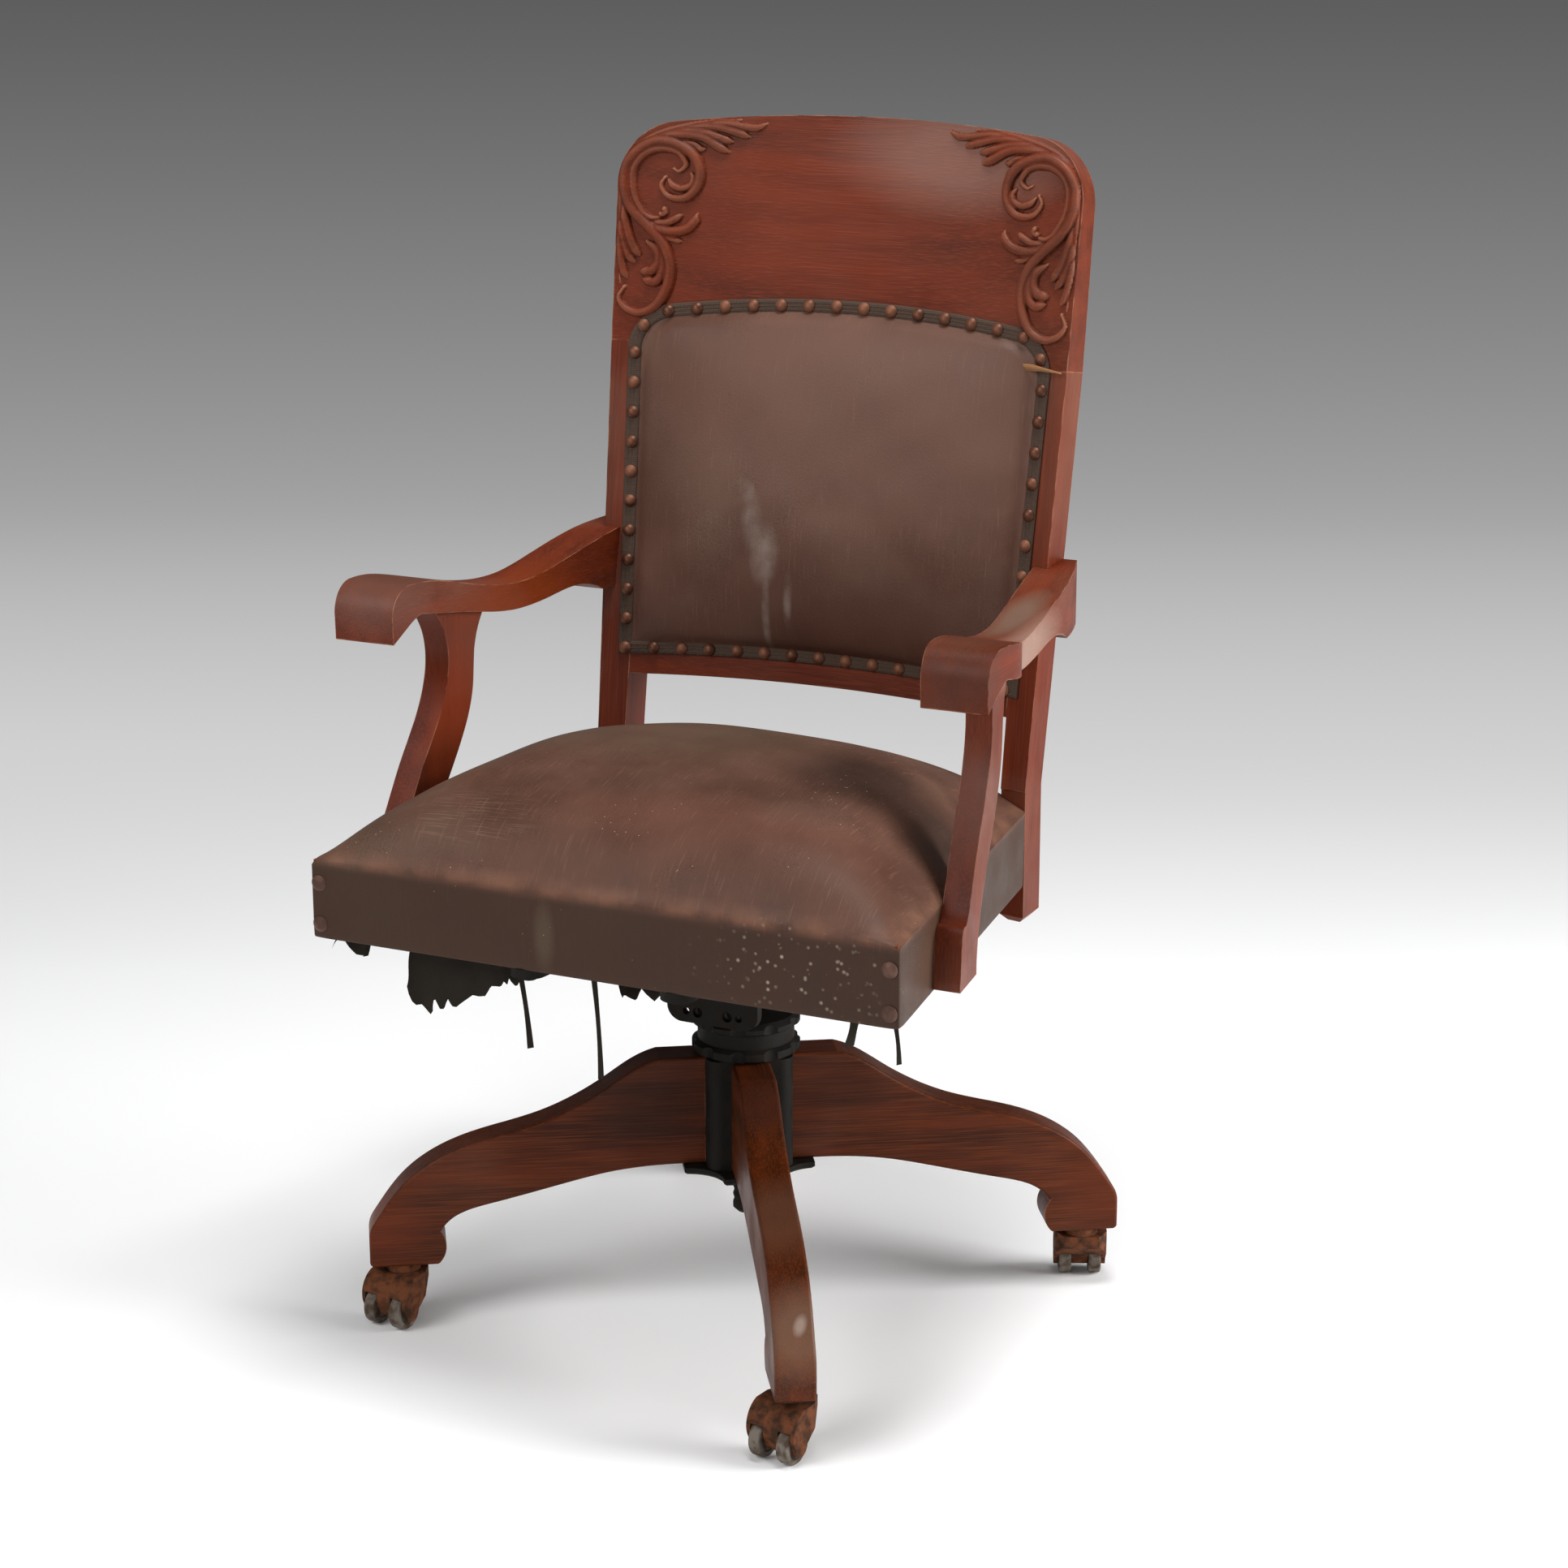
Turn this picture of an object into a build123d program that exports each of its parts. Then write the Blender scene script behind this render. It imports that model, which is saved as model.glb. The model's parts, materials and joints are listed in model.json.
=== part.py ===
from build123d import *
import os
from math import asin, atan2, ceil, cos, degrees, hypot, pi, radians, sin, sqrt

# An oak swivel office armchair. Millimetres and degrees, +Z up, origin on the floor under the
# swivel axis, +X to the right of someone who faces the chair, and the sitter faces -Y.

# Clearances
slip = 0.1            # running fit of a pin or shaft on the radius, and under nail heads
clear = 0.3           # gap between moving neighbours
joint_gap = 0.15      # glue gap round tenons

# Base: a cast hub, four sawn legs and their casters
floor_to_foot = 54.0
leg_yaw = 33.4
leg_names = ("right", "back", "left", "front")
leg_thickness = 34.0
leg_top = 234.0
leg_round = 3.0
shoulder_length = 40.0
caster_radius = 301.0
toe_length = 29.0
heel_length = 33.0
heel_height = 30.0
toe_height = 26.0
toe_nose = 4.0
tenon_thickness = 16.0
tenon_depth = 14.0
tenon_bottom = 152.0
tenon_top = 216.0
hub_width = 75.0
hub_corner = 12.0
hub_top = 236.0
lip_top = 136.0
lip_thickness = 6.5
lip_reach = 57.0
lip_hollow = 31.0
lip_chamfer = 2.5
leg_screw_inset = 11.0
screw_radius = 3.0
screw_head_radius = 6.0
screw_head_height = 4.0
leg_screw_length = 40.0

# Height screw and its handwheel
spindle_radius = 12.0
spindle_bottom = 84.0
spindle_nose = 4.0
thread_start = 92.0
thread_end = 278.0
thread_pitch = 8.0
thread_depth = 1.2
journal_radius = 9.0
shoulder_z = 286.0
journal_length = 38.0
washer_radius = 20.0
washer_thickness = 2.6
wheel_radius = 47.0
wheel_waist = 42.0
wheel_height = 34.0
wheel_flange = 10.0
wheel_scallops = 10
scallop_radius = 10.0
scallop_depth = 3.0

# Tilting head: yoke, pivot pin, stop bracket and springs
yoke_radius = 23.0
yoke_height = 42.0
pivot_z = 347.0
pin_radius = 6.0
pin_head_radius = 9.5
pin_head = 4.0
barrel_radius = 14.0
barrel_length = 67.0
ear_thickness = 10.0
ear_gap = 0.5
stop_y = -60.0
stop_width = 86.0
stop_bottom = 275.0
stop_thickness = 8.0
stop_corner = 14.0
stop_shoulder = 22.0
stop_holes = ((14.0, 4.5), (25.0, 3.2))
stop_hole_height = 10.0
web_thickness = 16.0
spring_y = 70.0
spring_x = 38.0
spring_arm_z = 300.0
spring_arm_thickness = 8.0
spring_arm_margin = 22.0
spring_radius = 14.0
spring_wire = 2.2
spring_turns = 5
cup_height = 5.0

# Seat frame
seat_front = -267.0
seat_half_front = 265.0
seat_bottom = 377.0
band_height = 66.0
seat_crown = 78.0
crown_y = -45.0
seat_sections = (
    # place from front to rear, share of the crown, fullness across
    (-1.0, 0.04, 5.0), (-0.83, 0.47, 5.0), (-0.47, 0.87, 4.6), (0.0, 1.0, 4.4),
    (0.38, 0.89, 3.6), (0.64, 0.69, 3.1), (1.0, 0.36, 2.7),
)
seat_section_flank = 0.86
seat_section_shoulder = 0.60
leather = 2.5
rail_thickness = 25.0
rear_rail_thickness = 24.0
rear_rail_setback = 4.0
block_size = 48.0
block_height = 44.0
iron_thickness = 8.0
iron_half_width = 62.0
iron_front = -84.0
iron_rear = 96.0
iron_bar = 30.0
iron_front_x = 68.0
iron_rear_x = 80.0
strap_width = 50.0
strap_thickness = 2.0
strap_rise = 6.0
straps_across = (-170.0, -70.0, 30.0)
straps_along = (-110.0, 0.0, 110.0)
seat_spring_radius = 30.0
seat_spring_wire = 2.0
seat_spring_turns = 3
seat_spring_spots = ((-110.0, -170.0), (110.0, -170.0), (0.0, -70.0), (-110.0, 30.0), (110.0, 30.0))
stud_radius = 7.0
stud_rise = 3.5
stud_inset = 9.0
stud_heights = (12.0, 47.0)
cloth = 1.2
flap_left = -186.0
flap_width = 96.0
flap_drop = 46.0
flap_folds = 4
flap_setback = 30.0

# Back frame: two posts, a carved crest rail and a lower rail, bowed in plan
post_front = 122.0
post_inner = 184.0
post_outer_seat = 208.5
post_outer_crest = 218.0
post_depth = 36.0
post_bottom = 341.0
post_foot_chamfer = 6.0
post_overlap = 10.0
rake = 8.93
rake_z = 470.0
bow_radius = 950.0
bow_half = 197.0
crest_joint = 349.0
crest_half = 221.0
crest_straight = 490.0
crest_corner_in, crest_corner_up = 13.0, 33.5
crest_shoulder_in, crest_shoulder_up = 49.0, 53.5
crest_rise = 65.0
crest_top_thickness = 24.0
rail_low = 52.0
rail_arch = 6.0
rail_high = 104.0

# Back upholstery: pad, braid and nails
nail_row_low = (188.0, 75.0)
nail_row_low_middle = 83.0
nail_row_side = (196.0, 345.0)
nail_row_corner = (187.0, 366.0)
nail_row_shoulder = (162.0, 378.0)
nail_row_top = 390.5
braid_width = 12.0
braid_thickness = 1.8
pad_leather = 1.2
pad_crown = (
    (70.0, 2.0), (98.0, 17.0), (150.0, 24.0), (235.0, 26.0),
    (315.0, 23.0), (364.0, 15.0), (396.0, 2.0),
)
nail_spacing = 26.5
nail_radius = 5.7
nail_rise = 3.4
nail_shank = 1.2
nail_length = 13.0
liner_thickness = 2.0
outside_half = 194.0
outside_low = 58.0
outside_high = 361.0
outside_thickness = 1.5
tack_spacing = 30.0
tack_radius = 3.5
tack_rise = 1.8
tack_shank = 0.8
tack_length = 8.0
tack_inset = 6.0

# Arms and their supports
arm_front = -172.0
arm_front_bottom = 605.0
arm_roll_side = (-172.5, 624.0)
arm_roll_nose = (-165.0, 645.0)
arm_roll_top = (-146.0, 652.0)
arm_top = ((-102.0, 647.0), (-45.0, 633.0), (15.0, 628.0), (70.0, 636.5), (125.0, 647.0))
arm_top_end = 654.0
arm_throat = (-149.0, 619.0)
arm_under = ((-130.0, 624.0), (-86.0, 617.0), (-8.0, 604.5), (40.0, 606.0), (88.0, 609.0))
arm_heel = (121.0, 599.0)
arm_rear = 178.0
arm_inner_front = 237.5
arm_inner_rear = 203.0
arm_outer_front = 294.0
arm_roll_depth = 48.0
arm_outer = ((274.0, -60.0), (257.0, 0.0), (247.5, 80.0), (238.0, 145.0))
arm_outer_rear = 228.0
support_thickness = 23.0
support_bottom = 379.0
support_top_cut = 640.0
support_front = ((-173.0, 386.0), (-158.0, 430.0), (-126.0, 482.0), (-98.0, 529.0), (-85.0, 575.0))
support_front_top = (-104.0, 621.0)
support_rear = ((-124.0, 389.0), (-99.0, 455.0), (-72.0, 499.0), (-54.0, 545.0), (-51.0, 577.0))
support_rear_top = (-39.0, 608.0)
support_screw_heights = (392.0, 428.0)
support_screw_length = 34.0

# Casters
collar_radius = 15.0
collar_height = 7.0
stem_radius = 5.0
stem_length = 36.0
caster_trail = 19.0
caster_wheel_radius = 16.0
caster_wheel_width = 11.0
caster_wheel_gap = 15.5
caster_width = 46.0
wheel_side_room = 0.6
wheel_top_room = 2.0
wheel_edge_round = 2.0
wheel_rim = 5.0
wheel_dish = 1.2
wheel_boss = 3.0
fork_crown_radius = 15.0
fork_crown_height = 9.0
axle_radius = 3.0
axle_boss = 8.0
caster_yaws = {"right": 115.0, "back": 60.0, "left": 265.0, "front": 262.0}

# Values that follow from the sizes above
hub_half = hub_width / 2
seat_top = seat_bottom + band_height
side_taper = (seat_half_front - post_outer_seat) / (post_front - seat_front)
iron_top = seat_bottom
iron_bottom = iron_top - iron_thickness
yoke_bottom = shoulder_z + washer_thickness + clear
bow_sag = bow_radius - sqrt(bow_radius ** 2 - bow_half ** 2)
bow_centre = bow_radius - bow_sag
rear_rail_front = post_front + rear_rail_setback
iron_screw_length = iron_thickness + rail_thickness
support_lean = (support_rear[1][0] - support_rear[0][0]) / (support_rear[1][1] - support_rear[0][1])
legs = [(name, leg_yaw + 90 * i) for i, name in enumerate(leg_names)]
crest_corner = (crest_half - crest_corner_in, crest_straight + crest_corner_up)
crest_shoulder = (crest_half - crest_shoulder_in, crest_straight + crest_shoulder_up)
crest_top = crest_straight + crest_rise

# The raked plane of the back: local x across, local y up the back, local z out towards the sitter
back = Plane(
    origin=(0, post_front, rake_z),
    x_dir=(1, 0, 0),
    z_dir=(0, -cos(radians(rake)), sin(radians(rake))),
)


def side_x(y, inset=0.0):
    """Half width of the seat at y, measured inset inside the leather."""
    slope = sqrt(1 + side_taper ** 2)
    return seat_half_front - side_taper * (y - seat_front) - inset * slope


def bow(across):
    """Depth of the bowed back surface at a distance across from the middle."""
    return bow_centre - sqrt(bow_radius ** 2 - across ** 2)


def slab(points, z0, z1):
    """Upright prism on a plan outline of corner points."""
    return Pos(0, 0, z0) * extrude(make_face(Polyline(*points, close=True)), amount=z1 - z0)


def sided(edges, x0, x1):
    """Prism of a side outline, drawn in y and z, from x0 to x1."""
    return Pos(x0, 0, 0) * extrude(Plane.YZ * make_face(edges), amount=x1 - x0)


def bar(p0, p1, width, z0, z1):
    """Flat bar with round ends between two plan points."""
    run = hypot(p1[0] - p0[0], p1[1] - p0[1])
    turn = degrees(atan2(p1[1] - p0[1], p1[0] - p0[0]))
    middle = ((p0[0] + p1[0]) / 2, (p0[1] + p1[1]) / 2)
    shape = Rot(0, 0, turn) * SlotCenterToCenter(run, width)
    return Pos(*middle, z0) * extrude(shape, amount=z1 - z0)


def rod(radius, z0, z1, x=0.0, y=0.0):
    """Upright round bar."""
    return Pos(x, y, (z0 + z1) / 2) * Cylinder(radius, z1 - z0)


def cross_rod(radius, half, y, z):
    """Round bar along X, centred on the middle plane."""
    return Pos(0, y, z) * Rot(0, 90, 0) * Cylinder(radius, 2 * half)


def turned(points):
    """Body of revolution about Z from (radius, z) points."""
    outline = [(x, 0, z) for x, z in points]
    return revolve(make_face(Polyline(*outline, close=True)), Axis.Z)


def screw(length):
    """Round-head screw: head below z = 0, shank up to z = length."""
    return rod(screw_head_radius, -screw_head_height, 0) + rod(screw_radius, 0, length)


def dome(radius, rise, shank_radius, shank_length):
    """Domed nail head on z = 0 with its shank below."""
    swell = (radius ** 2 + rise ** 2) / (2 * rise)
    head = Pos(0, 0, rise - swell) * Sphere(swell) & rod(radius, 0, rise)
    return head + rod(shank_radius, -shank_length, 0)


def mirrored(shape):
    """The same piece on the other side of the chair."""
    return mirror(shape, about=Plane.YZ)


def biarc(p0, t0, p1, t1):
    """Two tangent arcs from p0 along t0 to p1 along t1."""
    chord = p1 - p0
    along = chord.dot(t0 + t1)
    bend = 2 * (1 - t0.dot(t1))
    reach = (sqrt(along ** 2 + bend * chord.dot(chord)) - along) / bend
    knee = (p0 + p1 + (t0 - t1) * reach) * 0.5
    first = TangentArc(p0, knee, tangent=t0)
    return [first, TangentArc(knee, p1, tangent=t1 * -1, tangent_from_first=False)]


def coil(radius, wire, turns, z0, z1):
    """Upright coil spring with straight square ends, as one tube; also its least gap to itself."""
    foot = 2 * wire
    low, high = z0 + 3 * foot, z1 - 3 * foot
    climb = (high - low) / (2 * pi * turns)
    steps = 4 * turns

    def at(i):
        turn = i * pi / 2
        return Vector(radius * cos(turn), radius * sin(turn), low + climb * turn)

    def heading(i):
        turn = i * pi / 2
        return Vector(-radius * sin(turn), radius * cos(turn), climb).normalized()

    up = Vector(0, 0, 1)
    start = Vector(radius * cos(-pi / 4), radius * sin(-pi / 4), z0)
    end = Vector(radius * cos(pi / 4), radius * sin(pi / 4), z1)
    edges = [Line(start, start + up * foot)]
    edges += biarc(start + up * foot, up, at(0), heading(0))
    for i in range(steps):
        edges += biarc(at(i), heading(i), at(i + 1), heading(i + 1))
    edges += biarc(at(steps), heading(steps), end - up * foot, up)
    edges.append(Line(end - up * foot, end))
    path = Wire(edges)
    tube = sweep(Plane(start, z_dir=up) * Circle(wire), path=path)
    turn_samples = 24
    points = [path.position_at(i / (turn_samples * turns)) for i in range(turn_samples * turns + 1)]
    apart = int(turn_samples * 0.6)
    nearest = min(
        (points[i] - points[j]).length for i in range(len(points)) for j in range(i + apart, len(points))
    )
    return tube, nearest - 2 * wire


def make_leg():
    """Sawn leg along +X with its foot, tenon, screw hole and caster hole."""
    root, end = hub_half, caster_radius + toe_length
    shoulder = root + shoulder_length
    heel = caster_radius - heel_length
    toe_z, heel_z = floor_to_foot + toe_height, floor_to_foot + heel_height
    fall, reach = leg_top - toe_z, end - shoulder
    arch, span = lip_top - heel_z, heel - lip_reach
    crest = [(0.18, 0.16), (0.41, 0.35), (0.67, 0.47), (0.88, 0.68), (0.976, 0.89)]
    belly = [(0.46, 0.22), (0.78, 0.53)]
    top = [(shoulder, leg_top)] + [(shoulder + reach * u, leg_top - fall * v) for u, v in crest]
    under = [(lip_reach, lip_top)] + [(lip_reach + span * u, lip_top - arch * v) for u, v in belly]
    heel_foot = (heel + toe_nose, floor_to_foot)
    edges = [
        Line((root, leg_top), (shoulder, leg_top)),
        Spline(*top, (end, toe_z), tangents=((1, -0.25), (0, -1))),
        Line((end, toe_z), (end, floor_to_foot + toe_nose)),
        RadiusArc((end, floor_to_foot + toe_nose), (end - toe_nose, floor_to_foot), toe_nose),
        Line((end - toe_nose, floor_to_foot), heel_foot),
        ThreePointArc(heel_foot, (heel - toe_nose, floor_to_foot + heel_height * 0.45), (heel, heel_z)),
        Spline((heel, heel_z), *reversed(under), tangents=((-0.5, 1), (-1, 0))),
        Line((lip_reach, lip_top), (root, lip_top)),
        Line((root, lip_top), (root, leg_top)),
    ]
    leg = extrude(Plane.XZ * make_face(edges), amount=leg_thickness / 2, both=True)
    long_edges = [
        edge
        for edge in leg.edges()
        if abs(abs(edge.center().Y) - leg_thickness / 2) < 0.01
        and edge.center().X > root + 1
        and (edge.center().Z > heel_z or edge.bounding_box().min.X > end - toe_nose - 1)
    ]
    leg = fillet(long_edges, leg_round)
    tenon_size = (tenon_depth + root, tenon_thickness, tenon_top - tenon_bottom)
    leg += Pos(root - tenon_depth, 0, (tenon_bottom + tenon_top) / 2) * Box(
        *tenon_size, align=(Align.MIN, Align.CENTER, Align.CENTER)
    )
    screw_end = lip_top - lip_thickness + leg_screw_length
    leg -= rod(screw_radius + joint_gap, 0, screw_end, lip_reach - leg_screw_inset)
    return leg - rod(stem_radius + slip, 0, floor_to_foot + stem_length + clear, caster_radius)


def make_hub():
    """Square cast column with tenon pockets and a bore, and the hollow-sided lip plate under it."""
    square = RectangleRounded(hub_width, hub_width, hub_corner)
    column = Pos(0, 0, lip_top) * extrude(square, amount=hub_top - lip_top)
    plate = Rectangle(2 * lip_reach, 2 * lip_reach)
    lip = Pos(0, 0, lip_top - lip_thickness) * extrude(plate, amount=lip_thickness)
    screws = []
    facing = Rot(0, 0, leg_yaw)
    bore = rod(spindle_radius + clear, 0, hub_top + 1)
    pocket = Pos(hub_half, 0, (tenon_bottom + tenon_top) / 2) * Box(
        2 * (tenon_depth + joint_gap),
        tenon_thickness + 2 * joint_gap,
        tenon_top - tenon_bottom + 2 * joint_gap,
    )
    screw_x = lip_reach - leg_screw_inset
    for quarter in range(4):
        turn = Rot(0, 0, 90 * quarter)
        lip -= turn * rod(lip_hollow, 0, hub_top, lip_reach, lip_reach)
        column -= turn * pocket
        lip -= turn * rod(screw_radius + joint_gap, 0, hub_top, screw_x)
        screws.append(facing * turn * Pos(screw_x, 0, lip_top - lip_thickness) * screw(leg_screw_length))
    lip = chamfer(lip.faces().sort_by(Axis.Z)[0].outer_wire().edges(), lip_chamfer)
    return facing * (column - bore), facing * (lip - bore), Compound(children=screws)


def make_spindle():
    """Height screw: ridged shank, plain journal on top."""
    outline = [(0, spindle_bottom), (spindle_radius - spindle_nose, spindle_bottom)]
    outline.append((spindle_radius, spindle_bottom + spindle_nose))
    ridges = int((thread_end - thread_start) / thread_pitch)
    for ridge in range(ridges):
        z = thread_start + ridge * thread_pitch
        outline += [(spindle_radius, z), (spindle_radius - thread_depth, z + thread_pitch / 2)]
    outline.append((spindle_radius, thread_start + ridges * thread_pitch))
    top = shoulder_z + journal_length
    outline += [(spindle_radius, shoulder_z), (journal_radius, shoulder_z), (journal_radius, top - 1)]
    outline += [(journal_radius - 1, top), (0, top)]
    return turned(outline)


def make_handwheel():
    """Scalloped iron handwheel that carries the height screw."""
    low, high = hub_top + clear, hub_top + clear + wheel_height
    bore = spindle_radius + clear
    waist_low, waist_high = low + wheel_flange, high - wheel_flange
    wheel = turned([
        (bore, low), (wheel_radius - 2, low), (wheel_radius, low + 2), (wheel_radius, waist_low - 2),
        (wheel_waist, waist_low + 1), (wheel_waist, waist_high - 1), (wheel_radius, waist_high + 2),
        (wheel_radius, high - 4), (wheel_radius - 5, high), (bore, high),
    ])
    cut_at = wheel_radius + scallop_radius - scallop_depth
    for i in range(wheel_scallops):
        wheel -= Rot(0, 0, 360 / wheel_scallops * i) * rod(scallop_radius, low - 1, high + 1, cut_at)
    return wheel


def make_yoke():
    """Cast head: socket on the journal, pivot barrel, pierced stop bracket in front, spring arm behind."""
    socket_top = yoke_bottom + yoke_height
    yoke = rod(yoke_radius, yoke_bottom, socket_top)
    yoke += Pos(0, 0, (socket_top + pivot_z) / 2 - 3) * Box(
        2 * yoke_radius - 6, 2 * barrel_radius - 1, pivot_z - socket_top + 6
    )
    yoke += cross_rod(barrel_radius, barrel_length / 2, 0, pivot_z)
    stop_top = iron_bottom - clear
    half = stop_width / 2
    shoulder_low = stop_top - 2 * stop_shoulder
    plate_face = make_face(Polyline(
        (-half, stop_bottom), (half, stop_bottom), (half, shoulder_low),
        (half - stop_shoulder, stop_top), (stop_shoulder - half, stop_top), (-half, shoulder_low),
        close=True,
    ))
    plate_face = fillet(plate_face.vertices().group_by(Axis.Y)[0], stop_corner)
    holes = Sketch()
    for across, radius in stop_holes:
        for side in (-1, 1):
            holes += Pos(side * across, stop_bottom + stop_hole_height) * Circle(radius)
    bracket = extrude(Plane.XZ * (plate_face - holes), amount=stop_thickness / 2, both=True)
    yoke += Pos(0, stop_y, 0) * bracket
    web_low, web_high = yoke_bottom + 6, socket_top
    yoke += Pos(0, stop_y / 2, (web_low + web_high) / 2) * Box(web_thickness, -stop_y, web_high - web_low)
    arm_half = spring_x + spring_arm_margin
    arm = slab(
        [(-yoke_radius, 0), (yoke_radius, 0), (arm_half, spring_y - spring_arm_margin),
         (arm_half, spring_y + spring_arm_margin), (-arm_half, spring_y + spring_arm_margin),
         (-arm_half, spring_y - spring_arm_margin)],
        spring_arm_z - spring_arm_thickness, spring_arm_z,
    )
    yoke += fillet(arm.edges().filter_by(Axis.Z).group_by(Axis.Y)[-1], spring_arm_margin / 2)
    cup_radius = spring_radius - 2 * spring_wire - clear
    for side in (-1, 1):
        yoke += rod(cup_radius, spring_arm_z, spring_arm_z + cup_height, side * spring_x, spring_y)
    yoke -= rod(journal_radius + slip, 0, shoulder_z + journal_length + 2)
    return yoke - cross_rod(pin_radius + slip, barrel_length, 0, pivot_z)


def make_seat_iron():
    """Cast plate under the seat with four arms, two pivot ears, and its screws."""
    plate = slab(
        [(-iron_half_width, iron_front), (iron_half_width, iron_front),
         (iron_half_width, iron_rear), (-iron_half_width, iron_rear)],
        iron_bottom, iron_top,
    )
    iron = fillet(plate.edges().filter_by(Axis.Z), iron_bar / 2)
    front_pad = (iron_front_x, seat_front + leather + rail_thickness / 2)
    rear_pad = (iron_rear_x, rear_rail_front + rear_rail_thickness / 2)
    inner = iron_half_width - iron_bar / 2
    screws, holes = [], []
    for side in (-1, 1):
        for pad, from_y in ((front_pad, iron_front + iron_bar / 2), (rear_pad, iron_rear - iron_bar / 2)):
            spot = (side * pad[0], pad[1])
            iron += bar((side * inner, from_y), spot, iron_bar, iron_bottom, iron_top)
            hole_top = iron_bottom + iron_screw_length + joint_gap
            holes.append(rod(screw_radius + joint_gap, 0, hole_top, *spot))
            screws.append(Pos(*spot, iron_bottom) * screw(iron_screw_length))
        ear_x = side * (barrel_length / 2 + ear_gap + ear_thickness / 2)
        ear = Pos(ear_x, 0, pivot_z) * Rot(0, 90, 0) * Cylinder(barrel_radius + 2, ear_thickness)
        ear += Pos(ear_x, 0, (pivot_z + iron_bottom) / 2) * Box(
            ear_thickness, 2 * barrel_radius + 4, iron_bottom - pivot_z
        )
        iron += ear
    iron -= cross_rod(pin_radius + joint_gap / 3, iron_half_width + iron_bar, 0, pivot_z)
    return iron - holes, Compound(children=screws), holes


def make_pin():
    """Pivot pin with a head on both ends."""
    half = barrel_length / 2 + ear_gap + ear_thickness
    pin = cross_rod(pin_radius, half + pin_head, 0, pivot_z)
    head = Rot(0, 90, 0) * Cylinder(pin_head_radius, pin_head)
    for side in (-1, 1):
        pin += Pos(side * (half + pin_head / 2), 0, pivot_z) * head
    return pin


def outer_wall(inset, front_inset, y_end):
    """Plan corners of the tapering seat, inset from the leather, up to y_end."""
    y0 = seat_front + front_inset
    front_half, rear_half = side_x(y0, inset), side_x(y_end, inset)
    return [(-front_half, y0), (front_half, y0), (rear_half, y_end), (-rear_half, y_end)]


def make_seat_frame(posts):
    """Four rails, corner blocks, webbing and springs inside the seat."""
    inner = leather + rail_thickness
    rail_back = seat_front + inner
    ring = slab(outer_wall(leather, leather, rear_rail_front), seat_bottom, seat_top)
    ring -= slab(outer_wall(inner, inner, rear_rail_front + 1), 0, seat_top + 1)
    front_part = slab(outer_wall(0, 0, rail_back), 0, seat_top + 1)
    front_rail = ring & front_part
    left_rail, right_rail = (ring - front_part - list(posts)).solids().sort_by(Axis.X)
    rear_rail = Pos(0, rear_rail_front, seat_bottom) * Box(
        2 * post_inner, rear_rail_thickness, band_height, align=(Align.CENTER, Align.MIN, Align.MIN)
    )
    corner = side_x(rail_back, inner)
    block = slab(
        [(corner, rail_back), (corner - block_size, rail_back),
         (side_x(rail_back + block_size, inner), rail_back + block_size)],
        seat_top - block_height, seat_top,
    )
    blocks = Compound(children=[block, mirrored(block)])
    well = slab(outer_wall(inner, inner, rear_rail_front), 0, seat_top)
    low = seat_bottom + strap_rise
    strap_align = (Align.CENTER, Align.CENTER, Align.MIN)
    across = Box(2 * seat_half_front, strap_width, strap_thickness, align=strap_align)
    along = Box(strap_width, 3 * seat_half_front, strap_thickness, align=strap_align)
    webbing = [well & (Pos(0, y, low) * across) for y in straps_across]
    webbing += [well & (Pos(x, 0, low + strap_thickness) * along) for x in straps_along]
    spring_low = low + 2 * strap_thickness
    spring, gap = coil(seat_spring_radius, seat_spring_wire, seat_spring_turns, spring_low, seat_top)
    print("seat spring least gap", round(gap, 2))
    springs = Compound(children=[Pos(x, y, 0) * spring for x, y in seat_spring_spots])
    return front_rail, left_rail, right_rail, rear_rail, blocks, Compound(children=webbing), springs


def make_cushion(posts):
    """Domed seat: crowned stuffing over the rails and a leather band down their outside."""
    y_end = rear_rail_front + rear_rail_thickness
    depth_front, depth_rear = crown_y - seat_front, y_end - crown_y
    sections = []
    for place, share, fullness in seat_sections:
        y = crown_y + place * (depth_front if place < 0 else depth_rear)
        half = side_x(y)
        rise = seat_crown * share

        def spot(across):
            return across * half, seat_top + rise * (1 - abs(across) ** fullness)

        flank, shoulder = seat_section_flank, seat_section_shoulder
        edges = [
            ThreePointArc(spot(-1), spot(-flank), spot(-shoulder)),
            ThreePointArc(spot(-shoulder), spot(0), spot(shoulder)),
            ThreePointArc(spot(shoulder), spot(flank), spot(1)),
            Line(spot(1), spot(-1)),
        ]
        sections.append(Plane(origin=(0, y, 0), x_dir=(1, 0, 0), z_dir=(0, -1, 0)) * make_face(edges))
    cushion = loft(sections)
    rim = slab(outer_wall(0, 0, post_front), seat_bottom, seat_top)
    rim -= slab(outer_wall(leather, leather, post_front + 1), 0, seat_top)
    cushion += rim
    return cushion - list(posts)


def make_studs():
    """Two domed studs in each front corner of the seat band."""
    facing = Rot(90, 0, 0)
    stud = dome(stud_radius, stud_rise, nail_shank, rail_thickness / 2)
    x = seat_half_front - stud_inset
    spots = [(side * x, seat_front, seat_bottom + h) for side in (-1, 1) for h in stud_heights]
    hole = rod(nail_shank + joint_gap, -rail_thickness / 2 - joint_gap, 1)
    holes = [Pos(*s) * facing * hole for s in spots]
    return Compound(children=[Pos(*s) * facing * stud for s in spots]), holes


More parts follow.
